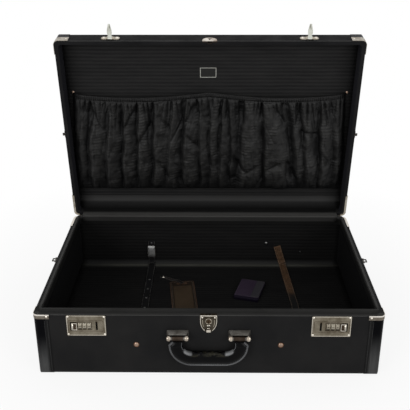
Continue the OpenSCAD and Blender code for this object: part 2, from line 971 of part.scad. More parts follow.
module handle_grip() {
    n = 12;
    rings = len(handle_line);
    outer = [for (p = handle_line) each handle_ring(p, p[3], p[3] * grip_deep / grip_tall, 1.3, n)];
    inner = [for (p = handle_line) each handle_ring(p, core_a, core_b, 0, n)];
    shift = rings * n;
    last = (rings - 1) * n;
    ends = [for (k = [0:n - 1], half = [0, 1]) let (j = (k + 1) % n)
        half == 0 ? [k, j, shift + j] : [k, shift + j, shift + k]];
    far_ends = [for (k = [0:n - 1], half = [0, 1]) let (j = (k + 1) % n)
        half == 0 ? [last + k, shift + last + j, last + j] : [last + k, shift + last + k, shift + last + j]];
    inside = [for (f = tube_faces(rings, n, false)) [for (v = f) v + shift]];
    color("#1b1b1d")
        polyhedron(concat(outer, inner), concat(tube_faces(rings, n, true), inside, ends, far_ends), convexity = 8);
}

// The copper rivets that hold the straps to the front wall
module strap_rivets() {
    color("#b07a58")
        for (x = [-1, 1])
            translate([x * rivet_x, front_y, rivet_z])
                rotate([90, 0, 0]) {
                    rivet_head(4.8, 1.8);
                    translate([0, 0, -base_wall - strap_lift - strap_t])
                        cylinder(r = 1.8, h = base_wall + strap_lift + strap_t);
                    translate([0, 0, -base_wall - strap_lift - strap_t - 1])
                        cylinder(r = 3.5, h = 1);
                }
}

// A flat strap swept along stations [point, the way it faces]
module strap_sweep(stations, w, t) {
    n = len(stations);
    rings = [for (i = [0:n - 1])
        let (p = stations[i][0], q = stations[max(i - 1, 0)][0], r = stations[min(i + 1, n - 1)][0],
            face = unit(stations[i][1]), s = unit(cross(unit(r - q), face)) * w / 2)
        each [p - s, p + s, p + s + face * t, p - s + face * t]];
    polyhedron(rings, concat(tube_faces(n, 4, true), [[0, 1, 2, 3], [4 * n - 1, 4 * n - 2, 4 * n - 3, 4 * n - 4]]),
        convexity = 6);
}

// Stations over the rear fold and up the rear wall
function rear_stations(x0, slope, top) = concat(
    [for (a = [-75, -45, -15]) let (r = base_cove_r - strap_lift, z = floor_z + base_cove_r + r * sin(a))
        [[x0 + slope * z, inner_y - base_cove_r + r * cos(a), z], [0, -cos(a), -sin(a)]]],
    [for (z = [floor_z + base_cove_r + 4, top]) [[x0 + slope * z, inner_y - strap_lift, z], [0, -1, 0]]]);
function front_stations(x) = [
    [[x, -inner_y + strap_lift, rivet_z + 9], [0, 1, 0]],
    [[x, -inner_y + strap_lift, floor_z + 9], [0, 1, 0]],
    [[x, -inner_y + strap_lift + 1.5, floor_z + strap_lift + 2], [0, 1, 1]],
    [[x, -inner_y + strap_lift + 7, floor_z + strap_lift], [0, 0, 1]]
];
left_x = -145;
right_x = 194;
right_foot = 184;
right_slope = -0.31;
right_turn = 10;

module rivet_hole(x) {
    translate([x, front_y, rivet_z])
        rotate([-90, 0, 0])
            cylinder(r = 1.8, h = base_wall + 12);
}

module left_strap() {
    color("#1e1e20")
        difference() {
            strap_sweep(concat(front_stations(-rivet_x),
                [[[left_x, 0, floor_z + strap_lift], [0, 0, 1]]],
                rear_stations(left_x, 0, 75)), strap_w, strap_t);
            rivet_hole(-rivet_x);
        }
}

module right_strap() {
    color("#4d3a2f")
        difference() {
            strap_sweep(concat(front_stations(rivet_x),
                [[[right_x, right_turn, floor_z + strap_lift], [0, 0, 1]]],
                rear_stations(right_foot - right_slope * floor_z, right_slope, 61)), strap_w, strap_t);
            rivet_hole(rivet_x);
        }
}

// The buckle round the left strap on the rear wall
module left_strap_buckle() {
    skin = 1.2;
    deep = strap_lift + strap_t + slack + skin;
    color("#d5d0c6")
        translate([left_x, inner_y - deep, 31.5])
            difference() {
                translate([-strap_w / 2 - slack - skin, 0, 0])
                    cube([strap_w + 2 * slack + 2 * skin, deep, 31]);
                translate([-strap_w / 2 - slack, skin, -over])
                    cube([strap_w + 2 * slack, strap_t + 2 * slack, 31 + 2 * over]);
            }
}

// The right strap's tab on the rear wall
module right_strap_tab() {
    color("#19191b")
        translate([tab_x, inner_y, tab_z])
            rotate([90, 14, 0])
                linear_extrude(tab_t)
                    translate([tab_l / 2 - 8, 0])
                        round_rect(tab_l, tab_w, 3);
}

rear_stud_x = 226;
rear_stud_z = 46;
strap_stud_z = 69;

module strap_studs() {
    color("#cfcac0") {
        translate([tab_x, inner_y - tab_t, tab_z])
            rotate([90, 0, 0])
                rivet_head(3.6, 2);
        translate([rear_stud_x, inner_y, rear_stud_z])
            rotate([90, 0, 0])
                rivet_head(3.2, 1.8);
        translate([left_x, inner_y - strap_lift - strap_t, strap_stud_z])
            rotate([90, 0, 0])
                rivet_head(3, 1.6);
    }
}

// A side catch on the base: wall plate with two ears for the loop
module catch_plate() {
    ear = loop_half + loop_wire / 2 + 0.5;
    difference() {
        union() {
            translate([0, -ear - 2.5, pivot_z - 11])
                cube([1.2, 2 * ear + 5, 12.5]);
            for (y = [-1, 1])
                translate([0, y * (ear + 0.75) - 0.75, pivot_z - 1.8])
                    cube([pivot_out + 1.6, 1.5, 3.6]);
        }
        translate([pivot_out, -ear - 3, pivot_z])
            rotate([-90, 0, 0])
                cylinder(r = loop_wire / 2 + run, h = 2 * ear + 6);
    }
}

module catch_plates() {
    color("#a8a299")
        for (x = [-1, 1])
            scale([x, 1, 1])
                translate([side_x, 0, 0])
                    catch_plate();
}

// A side catch's wire loop, standing straight out at rest
module catch_loop(side) {
    half = loop_half + loop_wire / 2 + 2;
    color("#c9c3b8")
        scale([side, 1, 1])
            translate([side_x + pivot_out, 0, pivot_z]) {
                translate([0, -half, 0])
                    rotate([-90, 0, 0])
                        cylinder(r = loop_wire / 2, h = 2 * half);
                difference() {
                    translate([0, -loop_half - loop_wire / 2, -loop_wire / 2])
                        cube([loop_l + loop_wire / 2, 2 * loop_half + loop_wire, loop_wire]);
                    translate([-over, -loop_half + loop_wire / 2, -loop_wire])
                        cube([loop_l - loop_wire / 2 + over, 2 * loop_half - loop_wire, 2 * loop_wire]);
                }
            }
}

// The lid's keepers: a wall plate with a lug that the loop drops over
module catch_keepers() {
    lug_half = loop_half - loop_wire / 2 - 0.8;
    lug_z = lid_h - (pivot_z + loop_l - loop_wire / 2 - 0.5 - base_h - seam_gap);
    color("#a8a299")
        lid_cup()
            for (x = [-1, 1])
                scale([x, 1, 1])
                    translate([side_x, 0, 0]) {
                        translate([0, -8, lid_h - 14])
                            cube([1, 16, 14]);
                        translate([0, -lug_half, lug_z])
                            cube([5.5, 2 * lug_half, 1.5]);
                    }
}

// Loose leather tag on the floor, with its strap
module luggage_tag() {
    color("#6a4a35")
        translate([tag_x, tag_y, floor_z + soft_gap])
            rotate([0, 0, tag_angle])
                linear_extrude(tag_t)
                    round_rect(tag_w, tag_l, 4);
}

module tag_strap() {
    high = floor_z + 2 * soft_gap + tag_t;
    low = floor_z + 2 * soft_gap;
    up = [0, 0, 1];
    end = tag_y + tag_l / 2;
    color("#2c2422")
        strap_sweep([[[tag_x - 5, end - 12, high], up], [[tag_x - 17, end, high], up],
            [[tag_x - 29, end + 8, low], up], [[tag_x - 43, end + 16, low + 0.6], up],
            [[tag_x - 57, end + 24, low], up]], 10, 1.6);
}

module key_pouch() {
    color("#2c2438")
        translate([pouch_x, pouch_y, floor_z + soft_gap])
            rotate([0, 0, pouch_angle])
                linear_extrude(pouch_t)
                    round_rect(pouch_w, pouch_l, 3);
}

// The lid's cup
module lid_shell() {
    color("#6b5a45")
        lid_cup()
            board_cup(lid_h, lid_board_t);
}

// The room that the key lock's hasp takes in the lid's rim
module hasp_flange_room() {
    translate([-hasp_w / 2, front_y - over, lid_h - flange_t])
        cube([hasp_w, hasp_flange + over, flange_t + over]);
    translate([-staple_w / 2 - 1.5, front_y, lid_h - flange_t])
        cube([staple_w + 3, flange_deep, flange_t + over]);
}

module lid_leather() {
    color("#1d1d1f")
        lid_cup()
            difference() {
                leather_cup(lid_h, lid_wall);
                rim_wraps(lid_h);
                hasp_flange_room();
            }
}

module lid_lining() {
    color("#232326")
        lid_cup()
            lining_cup(lid_h, lid_board_t, lid_liner_t, lid_cove_r);
}

module lid_corner_covers() {
    color("#303033")
        lid_cup()
            difference() {
                covers(lid_h);
                rim_wraps(lid_h);
            }
}

module lid_corner_plates() {
    color("#b9b3a8")
        lid_cup()
            plates(lid_h, lid_plate_h);
}

module lid_rivets() {
    color("#d0cbc0")
        lid_cup() {
            corner_rivet_heads(lid_h, lid_plate_h);
            for (x = [-1, 1]) {
                for (s = [-1, 1]) {
                    translate([x * hinge_x + s * (hinge_w / 2 - 8), rear_y + leaf_t, lid_h - leaf_h / 2 - 3])
                        rotate([-90, 0, 0])
                            rivet_head(2.2, 0.8);
                    translate([x * hasp_x + s * hasp_lobe_x, front_y - face_t, lid_h - hasp_rise - hasp_lobe_h / 2])
                        rotate([90, 0, 0])
                            rivet_head(4.4, 2.8);
                }
                translate([x * (hasp_w / 2 - 5), front_y - face_t, lid_h - 6])
                    rotate([90, 0, 0])
                        rivet_head(1.7, 0.8);
            }
        }
}

// Hasps: their X follows the hasp slot in the lock plates
hasp_x = lock_x - slot_x;
knuckle_half = 8;
hasp_lobe_h = 16;
hasp_lobe_x = hasp_plate_w / 2 - 5.5;

module hasp_plates() {
    h = lid_h - hasp_rise;
    color("#c4beb2")
        lid_cup()
            for (x = [-1, 1])
                translate([x * hasp_x, front_y, 0])
                    difference() {
                        union() {
                            rotate([90, 0, 0])
                                linear_extrude(face_t)
                                    translate([0, h - 4.5]) {
                                        translate([0, 4.5 - hasp_lobe_h / 2])
                                            round_rect(hasp_plate_w, hasp_lobe_h, 6);
                                        translate([0, -4])
                                            round_rect(24, 14, 5);
                                        translate([0, -10])
                                            circle(6.5);
                                    }
                            for (s = [-1, 1])
                                translate([s * (knuckle_half - 1.5) - 1.5, -hasp_out, h])
                                    rotate([0, 90, 0])
                                        cylinder(r = hasp_knuckle_r, h = 3);
                        }
                        translate([-knuckle_half + 3, -hasp_out, h])
                            rotate([0, 90, 0])
                                cylinder(r = hasp_knuckle_r + slack, h = 2 * knuckle_half - 6);
                        translate([-hasp_plate_w / 2, -hasp_out, h])
                            rotate([0, 90, 0])
                                cylinder(r = hasp_pin_r, h = hasp_plate_w);
                    }
}

module hasp_pins() {
    color("#8f8a82")
        lid_cup()
            for (x = [-1, 1])
                translate([x * hasp_x - knuckle_half, front_y - hasp_out, lid_h - hasp_rise])
                    rotate([0, 90, 0])
                        cylinder(r = hasp_pin_r, h = 2 * knuckle_half);
}

// A hasp tongue about its axis, as it hangs when locked: plate at the front, blade into the slot
module hasp_tongue() {
    inner_half = knuckle_half - 3 - slack;
    back = hasp_out - tongue_back;
    blade_low = -tongue_l;
    difference() {
        union() {
            translate([-inner_half, 0, 0])
                rotate([0, 90, 0])
                    cylinder(r = hasp_knuckle_r, h = 2 * inner_half);
            translate([0, back, 0])
                rotate([90, 0, 0])
                    linear_extrude(tongue_t) {
                        translate([-inner_half, -6])
                            square([2 * inner_half, 6]);
                        polygon([[-inner_half, -5], [-3.4, -8], [-5.2, -12], [-5, -18], [-2, -tongue_l],
                            [2, -tongue_l], [5, -18], [5.2, -12], [3.4, -8], [inner_half, -5]]);
                    }
            translate([-blade_t / 2, back - over, blade_low])
                cube([blade_t, blade_deep + tongue_back + over, blade_tall]);
        }
        translate([-inner_half - over, 0, 0])
            rotate([0, 90, 0])
                cylinder(r = hasp_pin_r + run, h = 2 * inner_half + 2 * over);
        translate([-blade_t, hasp_out + 3, blade_low + 2.2])
            cube([2 * blade_t, 3.8, nose_tall + 1.6]);
    }
}

module hasp(side) {
    color("#cfc9bd")
        lid_pose()
            translate([side * hasp_x, front_y - hasp_out, base_h + seam_gap + hasp_rise])
                rotate([-90, 0, 0])
                    hasp_tongue();
}

// The key lock's hasp: arched plate with a T-shaped hole, flange over the lid's rim and staple
module key_lock_hasp() {
    shoulder = hasp_tall - hasp_w / 2;
    color("#c4beb2")
        lid_cup()
            difference() {
                union() {
                    translate([0, front_y, lid_h])
                        rotate([90, 0, 0])
                            linear_extrude(face_t) {
                                translate([-hasp_w / 2, -shoulder])
                                    square([hasp_w, shoulder]);
                                intersection() {
                                    translate([0, -shoulder])
                                        circle(hasp_w / 2, $fn = 72);
                                    translate([-hasp_w / 2, -hasp_tall])
                                        square([hasp_w, hasp_tall - shoulder / 2]);
                                }
                            }
                    translate([-hasp_w / 2, front_y - face_t, lid_h - flange_t])
                        cube([hasp_w, hasp_flange + face_t, flange_t]);
                    translate([-staple_w / 2 - 1.5, front_y, lid_h - flange_t])
                        cube([staple_w + 3, flange_deep, flange_t]);
                    translate([-staple_w / 2, front_y + staple_y, lid_h - flange_t])
                        cube([staple_w, staple_t, flange_t + staple_drop]);
                }
                translate([-staple_w / 2 - over, front_y, lid_h + seam_gap + 2.2])
                    cube([over + 2, 10, catch_tall]);
                translate([-1.5, front_y - face_t - over, lid_h - 13])
                    cube([3, face_t + over, 8]);
                translate([-4, front_y - face_t - over, lid_h - 14])
                    cube([8, face_t + over, 2.6]);
            }
}

// The lid's gathered pocket: folds run down from a swagged, elastic top edge
pocket_x = 96;
pocket_rows = [0, 0.08, 0.3, 0.62, 0.88, 1];
pocket_puff = [0, 0.8, 1, 0.97, 0.88, 0.74];
fold_deep = [0, 0.7, 1, 1, 1, 0.4];
function pocket_edge(x) = pocket_top - 11 * sin(360 * abs(x) / pocket_w) - 5 * abs(x) / (pocket_w / 2);
function pocket_stand(x, row) =
    let (end = min(1, (pocket_w / 2 - abs(x)) / 40), side = sqrt(max(end, 0)),
        wave = cos(360 * pocket_folds * x / pocket_w + 40 * sin(5 * x) * (1 - pocket_rows[row])))
    soft_gap + pocket_puff[row] * pocket_full * side + 2.4 * fold_deep[row] * side * (1 + wave);
function pocket_point(i, row, lift) =
    let (x = -pocket_w / 2 + pocket_w * i / pocket_x, u = pocket_low + (pocket_edge(x) - pocket_low) * pocket_rows[row])
    [x * pocket_spread[row], rear_y - u, lid_wall + pocket_stand(x, row) + lift];

module lid_pocket() {
    rows = len(pocket_rows);
    wide = pocket_x + 1;
    back = wide * rows;
    points = concat([for (r = [0:rows - 1], i = [0:pocket_x]) pocket_point(i, r, pocket_cloth)],
        [for (r = [0:rows - 1], i = [0:pocket_x]) pocket_point(i, r, 0)]);
    front_faces = [for (r = [0:rows - 2], i = [0:pocket_x - 1], half = [0, 1])
        let (a = r * wide + i, b = a + 1, c = a + wide, d = c + 1)
        half == 0 ? [a, b, c] : [b, d, c]];
    back_faces = [for (f = front_faces) [f[0] + back, f[2] + back, f[1] + back]];
    low = [for (i = [0:pocket_x - 1], half = [0, 1]) half == 0 ? [i, back + i, i + 1] : [i + 1, back + i, back + i + 1]];
    top_row = (rows - 1) * wide;
    top = [for (i = [top_row:top_row + pocket_x - 1], half = [0, 1])
        half == 0 ? [i, i + 1, back + i] : [i + 1, back + i + 1, back + i]];
    left = [for (r = [0:rows - 2], half = [0, 1]) let (a = r * wide, c = a + wide)
        half == 0 ? [a, c, back + a] : [c, back + c, back + a]];
    right = [for (r = [0:rows - 2], half = [0, 1]) let (a = r * wide + pocket_x, c = a + wide)
        half == 0 ? [a, back + a, c] : [c, back + a, back + c]];
    color("#26262a")
        lid_cup()
            polyhedron(points, concat(front_faces, back_faces, low, top, left, right), convexity = 10);
}

module pocket_studs() {
    color("#b89878")
        lid_cup()
            for (x = [-1, 1])
                translate([x * (pocket_w / 2 + stud_out), rear_y - pocket_top + 5, lid_wall])
                    rivet_head(4, 2);
}

// The bare label plate on the lid's panel
module label_plate() {
    color("#2a2a28")
        lid_cup()
            translate([label_x, label_y, lid_wall])
                linear_extrude(0.9)
                    round_rect(label_w, label_h, 1);
}

// The soft strip inside that covers the gap at the hinges, from the lip over to the lid's rear wall
cover_gap = 0.4;
cover_rise = 13;
lid_rear = -hinge_off - lid_wall;
function lid_point(y, z) = [hinge_y + y * cos(lid_open) + z * sin(lid_open), hinge_z - y * sin(lid_open) + z * cos(lid_open)];

module hinge_cover() {
    lip_in = inner_y - lip_t;
    strip = 0.8;
    top = base_h + lip_h + cover_gap;
    a = lid_point(lid_rear - cover_gap, -0.6);
    b = lid_point(lid_rear - cover_gap, cover_rise);
    c = lid_point(lid_rear - cover_gap - strip, cover_rise);
    d = lid_point(lid_rear - cover_gap - strip, -0.4);
    color("#3a3a3d")
        translate([-side_x + base_wall + inner_r + 6, 0, 0])
            rotate([90, 0, 90])
                linear_extrude(case_w - 2 * (base_wall + inner_r + 6))
                    polygon([[lip_in - cover_gap, base_h - 6], [lip_in - cover_gap, top], [lip_in + lip_t / 2, top + 0.4],
                        a, b, c, d, [lip_in + lip_t / 2, top + 0.4 + strip],
                        [lip_in - cover_gap - strip, top + strip], [lip_in - cover_gap - strip, base_h - 6]]);
}

base_shell();
base_leather();
base_lining();
base_lip();
base_corner_covers();
base_corner_plates();
base_rivets();
base_hinge_leaves();
hinge_pins();
lock_plates();
lock_cases();
lock_spindles();
dial(-1, 0);  // left_dial_1
dial(-1, 1);  // left_dial_2
dial(-1, 2);  // left_dial_3
dial(1, 0);  // right_dial_1
dial(1, 1);  // right_dial_2
dial(1, 2);  // right_dial_3
lock_button(-1);  // left_lock_button
lock_button(1);  // right_lock_button
lock_spring(-1);  // left_lock_spring
lock_spring(1);  // right_lock_spring
key_lock_plate();
key_lock_case();
key_barrel();
key_lock_latch();
handle_mounts();
handle_pins();
handle_eyes();
handle_core();
handle_grip();
strap_rivets();
left_strap();
left_strap_buckle();
right_strap();
right_strap_tab();
strap_studs();
catch_plates();
catch_loop(-1);  // left_catch_loop
catch_loop(1);  // right_catch_loop
luggage_tag();
tag_strap();
key_pouch();
lid_shell();
lid_leather();
lid_lining();
lid_corner_covers();
lid_corner_plates();
lid_rivets();
lid_hinge_leaves();
lid_pocket();
pocket_studs();
label_plate();
hasp_plates();
hasp_pins();
hasp(-1);  // left_hasp
hasp(1);  // right_hasp
key_lock_hasp();
catch_keepers();
hinge_cover();
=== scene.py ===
import math
import random

import bmesh
import bpy
from mathutils import Matrix, Vector, noise


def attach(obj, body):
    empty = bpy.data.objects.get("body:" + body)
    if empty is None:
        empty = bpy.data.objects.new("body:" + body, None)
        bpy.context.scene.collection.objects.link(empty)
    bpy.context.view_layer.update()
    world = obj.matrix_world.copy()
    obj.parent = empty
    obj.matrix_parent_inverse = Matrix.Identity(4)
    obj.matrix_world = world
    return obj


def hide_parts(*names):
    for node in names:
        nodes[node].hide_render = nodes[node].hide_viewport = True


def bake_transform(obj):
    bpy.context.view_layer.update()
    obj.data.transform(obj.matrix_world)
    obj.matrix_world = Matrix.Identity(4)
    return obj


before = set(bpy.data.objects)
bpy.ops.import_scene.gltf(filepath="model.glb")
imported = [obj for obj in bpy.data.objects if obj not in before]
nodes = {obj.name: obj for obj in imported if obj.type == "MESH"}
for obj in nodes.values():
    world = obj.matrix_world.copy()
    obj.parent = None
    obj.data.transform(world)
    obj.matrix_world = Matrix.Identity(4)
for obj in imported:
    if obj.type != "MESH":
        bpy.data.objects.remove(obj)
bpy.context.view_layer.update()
random.seed(7)

# The case's own sizes, in metres
CASE_W = 0.665
CASE_D = 0.444
BASE_H = 0.137
LID_H = 0.047
SEAM = 0.0003
LID_OPEN = math.radians(80.7)
FRONT_Y = -CASE_D / 2
REAR_Y = CASE_D / 2
SIDE_X = CASE_W / 2
HINGE = Vector((0, REAR_Y + 0.0032, BASE_H + SEAM / 2))
BASE_WALL = 0.0085
LID_WALL = 0.008
INNER_X = SIDE_X - BASE_WALL
INNER_Y = REAR_Y - BASE_WALL
INNER_R = 0.007
COVER_LINE = 0.0205
GRIP_LOW = 0.0326
LOCK_X = SIDE_X - 0.0995
LOCK_Z = 0.113

# A point in the lid's own cup, standing on its panel, goes to its place on the open lid with this matrix
LID = (Matrix.Translation(HINGE) @ Matrix.Rotation(-LID_OPEN, 4, "X") @ Matrix.Translation(-HINGE)
       @ Matrix.Translation((0, 0, BASE_H + SEAM + LID_H)) @ Matrix.Scale(-1, 4, (0, 0, 1)))
LID_UP = (LID.to_3x3() @ Vector((0, -1, 0))).normalized()


# Camera: where the photograph was taken from
def make_camera():
    data = bpy.data.cameras.new("camera")
    data.sensor_width = 36
    data.lens = 61.64
    data.clip_start = 0.05
    data.clip_end = 30
    camera = bpy.data.objects.new("camera", data)
    bpy.context.scene.collection.objects.link(camera)
    camera.location = (0.0067, -1.3501, 0.8628)
    camera.rotation_euler = (math.radians(66.16), math.radians(0.11), math.radians(0.613))
    bpy.context.scene.camera = camera


# Building blocks for materials
def tree(name):
    made = bpy.data.materials.new(name)
    made.use_nodes = True
    return made, made.node_tree, made.node_tree.nodes["Principled BSDF"]


def add(net, kind, inputs=None, **settings):
    made = net.nodes.new(kind)
    for key, value in settings.items():
        setattr(made, key, value)
    for key, value in (inputs or {}).items():
        if isinstance(value, bpy.types.NodeSocket):
            net.links.new(value, made.inputs[key])
        else:
            made.inputs[key].default_value = value
    return made


def place(net):
    """The point in the row frame at rest."""
    return add(net, "ShaderNodeTexCoord").outputs["Object"]


def stretched(net, scale, turn=(0, 0, 0)):
    return add(net, "ShaderNodeMapping", {"Vector": place(net), "Scale": scale, "Rotation": turn}).outputs["Vector"]


def noise_at(net, scale, detail=4.0, rough=0.55, vector=None):
    made = add(net, "ShaderNodeTexNoise", {"Scale": scale, "Detail": detail, "Roughness": rough,
                                           "Vector": vector or place(net)})
    return made.outputs["Fac"]


def cells_at(net, scale, vector=None, feature="F1"):
    made = add(net, "ShaderNodeTexVoronoi", {"Scale": scale, "Vector": vector or place(net)}, feature=feature)
    return made.outputs["Distance"]


def span(net, value, low, high, to_low, to_high):
    made = add(net, "ShaderNodeMapRange", {"Value": value, "From Min": low, "From Max": high,
                                           "To Min": to_low, "To Max": to_high})
    return made.outputs["Result"]


def mix(net, fac, a, b):
    made = add(net, "ShaderNodeMix", data_type="RGBA")
    for socket, value in ((made.inputs[0], fac), (made.inputs[6], a), (made.inputs[7], b)):
        if isinstance(value, bpy.types.NodeSocket):
            net.links.new(value, socket)
        else:
            socket.default_value = value if socket is made.inputs[0] else (*value, 1)
    return made.outputs[2]


def maths(net, operation, a, b=0.0):
    made = add(net, "ShaderNodeMath", {0: a, 1: b}, operation=operation)
    return made.outputs[0]


def along(net, direction):
    """The distance of the point along a fixed direction."""
    made = add(net, "ShaderNodeVectorMath", {0: place(net), 1: tuple(direction)}, operation="DOT_PRODUCT")
    return made.outputs["Value"]


def sides(net):
    """The point's own X, Y and Z, with X and Y taken without their sign."""
    parts = add(net, "ShaderNodeSeparateXYZ", {0: place(net)})
    return maths(net, "ABSOLUTE", parts.outputs[0]), maths(net, "ABSOLUTE", parts.outputs[1]), parts.outputs[2]


def smooth(net, value, low, high, to_low=0.0, to_high=1.0):
    made = add(net, "ShaderNodeMapRange", {"Value": value, "From Min": low, "From Max": high,
                                           "To Min": to_low, "To Max": to_high}, interpolation_type="SMOOTHSTEP")
    return made.outputs["Result"]


def bump(net, height, strength, distance, normal=None):
    inputs = {"Height": height, "Strength": strength, "Distance": distance}
    if normal:
        inputs["Normal"] = normal
    return add(net, "ShaderNodeBump", inputs).outputs["Normal"]


def join(net, shader, **links):
    for key, value in links.items():
        net.links.new(value, shader.inputs[key.replace("_", " ")])


def leather(name, dark, light, grain, rough, specular=0.3, dust=0.0, rim=None):
    """Grained leather, with scuffs where it is dusty and, when rim is given, painted light along the top of the front
    wall: a paler strip that lifts the shade there.
    """
    made, net, shader = tree(name)
    patch = noise_at(net, 14, 5)
    colour = mix(net, span(net, patch, 0.35, 0.7, 0, 1), dark, light)
    pores = cells_at(net, 1 / grain)
    creases = noise_at(net, 60, 6, 0.7)
    scuff = span(net, noise_at(net, 5, 8, 0.75, stretched(net, (1, 3.5, 6))), 0.58, 0.78, 0, 1)
    if dust:
        colour = mix(net, maths(net, "MULTIPLY", scuff, dust), colour, (0.06, 0.058, 0.055))
    # rim colour: painted light on the top of the front wall, lifting the shade that the lip casts there
    if rim:
        parts = add(net, "ShaderNodeSeparateXYZ", {0: place(net)})
        top = maths(net, "MULTIPLY", smooth(net, parts.outputs[2], BASE_H - 0.0012, BASE_H - 0.0004),
                    smooth(net, parts.outputs[1], FRONT_Y + 0.012, FRONT_Y + 0.009))
        colour = mix(net, top, colour, rim)
    wear = span(net, noise_at(net, 40, 5), 0.3, 0.75, rough - 0.08, rough + 0.12)
    normal = bump(net, pores, 0.35, 0.00025)
    normal = bump(net, creases, 0.25, 0.0006, normal)
    join(net, shader, Base_Color=colour, Roughness=wear, Normal=normal)
    shader.inputs["Specular IOR Level"].default_value = specular
    return made


def cover_leather(name, dark, light, edge, low, high):
    """Polished leather of the corner covers: nearly black at the top, with a painted highlight that grows paler toward
    the bottom, runs in vertical bands and fades at the rounded corner.
    """
    made, net, shader = tree(name)
    x, y, z = sides(net)
    corner = maths(net, "SUBTRACT", SIDE_X + REAR_Y, maths(net, "ADD", x, y))
    drift = noise_at(net, 26, 5, 0.6, stretched(net, (1, 1, 0.35)))
    # painted highlight: paler toward the bottom, dimmer on the rounded corner, broken into vertical bands
    rubbed = smooth(net, maths(net, "ADD", z, maths(net, "MULTIPLY", drift, 0.03)), high + 0.015, low + 0.015)
    rubbed = maths(net, "MULTIPLY", rubbed, smooth(net, corner, -0.002, 0.008, 0.35, 1.0))
    highlight_streaks = span(net, noise_at(net, 60, 6, 0.7, stretched(net, (4, 4, 0.3))), 0.35, 0.7, 0.75, 1.1)
    colour = mix(net, maths(net, "MULTIPLY", rubbed, highlight_streaks), dark, light)
    colour = mix(net, smooth(net, corner, COVER_LINE, COVER_LINE + 0.0006), colour, edge)
    scuff = span(net, noise_at(net, 210, 6, 0.75), 0.62, 0.74, 0, 0.5)
    colour = mix(net, maths(net, "MULTIPLY", scuff, smooth(net, z, 0.03, 0.0)), colour, (0.16, 0.155, 0.145))
    normal = bump(net, cells_at(net, 900), 0.2, 0.0002)
    normal = bump(net, noise_at(net, 45, 5, 0.7), 0.25, 0.0008, normal)
    join(net, shader, Base_Color=colour, Normal=normal, Roughness=span(net, drift, 0.3, 0.7, 0.26, 0.42))
    shader.inputs["Specular IOR Level"].default_value = 0.03
    return made


def plate_metal(name, edge, face, stained):
    """The metal of the front corner plates: a painted highlight along the upper edge over a dull stained face."""
    made, net, shader = tree(name)
    z = sides(net)[2]
    stain = span(net, noise_at(net, 160, 6, 0.7), 0.42, 0.62, 0, 1)
    colour = mix(net, stain, face, stained)
    # painted highlight: the top few millimetres of each plate, where it faces the light from above
    colour = mix(net, smooth(net, z, BASE_H - 0.0030, BASE_H - 0.0018), colour, edge)
    join(net, shader, Base_Color=colour, Roughness=span(net, stain, 0, 1, 0.3, 0.5),
         Normal=bump(net, noise_at(net, 300, 3), 0.15, 0.0003))
    shader.inputs["Metallic"].default_value = 1.0
    return made


def grip_leather(name, dark, wave, spot):
    """Black handle leather with a painted dull olive sheen along the finger waves and painted highlights on the two
    inner bends.
    """
    made, net, shader = tree(name)
    x, y, z = sides(net)
    patch = noise_at(net, 60, 5, 0.6)
    # painted sheen: an olive band along the top of the bar, between the bends
    upper = smooth(net, maths(net, "ABSOLUTE", maths(net, "SUBTRACT", z, GRIP_LOW + 0.0245)), 0.0045, 0.001)
    middle = smooth(net, x, 0.042, 0.030)
    streak = span(net, noise_at(net, 70, 4, 0.6, stretched(net, (0.8, 1, 2.6))), 0.42, 0.62, 0, 1)
    colour = mix(net, maths(net, "MULTIPLY", maths(net, "MULTIPLY", upper, middle), streak), dark, wave)
    # painted highlight: a pale arc on the inner side of each lower bend
    away = add(net, "ShaderNodeVectorMath", {0: add(net, "ShaderNodeCombineXYZ", {0: x, 1: 0.0, 2: z}).outputs[0],
                                             1: (0.033, 0.0, GRIP_LOW + 0.044)}, operation="DISTANCE").outputs["Value"]
    ring = smooth(net, maths(net, "ABSOLUTE", maths(net, "SUBTRACT", away, 0.0185)), 0.0036, 0.0008)
    arc = maths(net, "MULTIPLY", smooth(net, x, 0.0300, 0.0345), smooth(net, x, 0.0490, 0.0455))
    low = smooth(net, z, GRIP_LOW + 0.040, GRIP_LOW + 0.033)
    shine = maths(net, "MULTIPLY", maths(net, "MULTIPLY", maths(net, "MULTIPLY", ring, arc), low), span(net, patch, 0.35, 0.65, 0.5, 1))
    colour = mix(net, shine, colour, spot)
    normal = bump(net, cells_at(net, 950), 0.3, 0.0002)
    normal = bump(net, noise_at(net, 120, 5, 0.7), 0.2, 0.0004, normal)
    join(net, shader, Base_Color=colour, Normal=normal, Roughness=span(net, patch, 0.3, 0.7, 0.16, 0.3))
    shader.inputs["Specular IOR Level"].default_value = 0.06
    return made


def strap_leather(name, dark, light, black):
    """The brown strap: tan and rubbed toward the rear wall, dark where it nears the front."""
    made, net, shader = tree(name)
    y = add(net, "ShaderNodeSeparateXYZ", {0: place(net)}).outputs[1]
    patch = noise_at(net, 120, 6, 0.7)
    rows = cells_at(net, 260)
    blend = maths(net, "ADD", maths(net, "MULTIPLY", patch, 0.9), maths(net, "MULTIPLY", rows, 0.35))
    colour = mix(net, span(net, blend, 0.35, 0.8, 0, 1), dark, light)
    front = smooth(net, maths(net, "ADD", y, maths(net, "MULTIPLY", noise_at(net, 90, 4), 0.03)), 0.102, 0.062)
    colour = mix(net, front, colour, black)
    normal = bump(net, rows, 0.4, 0.0004)
    join(net, shader, Base_Color=colour, Normal=normal, Roughness=span(net, patch, 0.3, 0.7, 0.5, 0.7))
    shader.inputs["Specular IOR Level"].default_value = 0.1
    return made


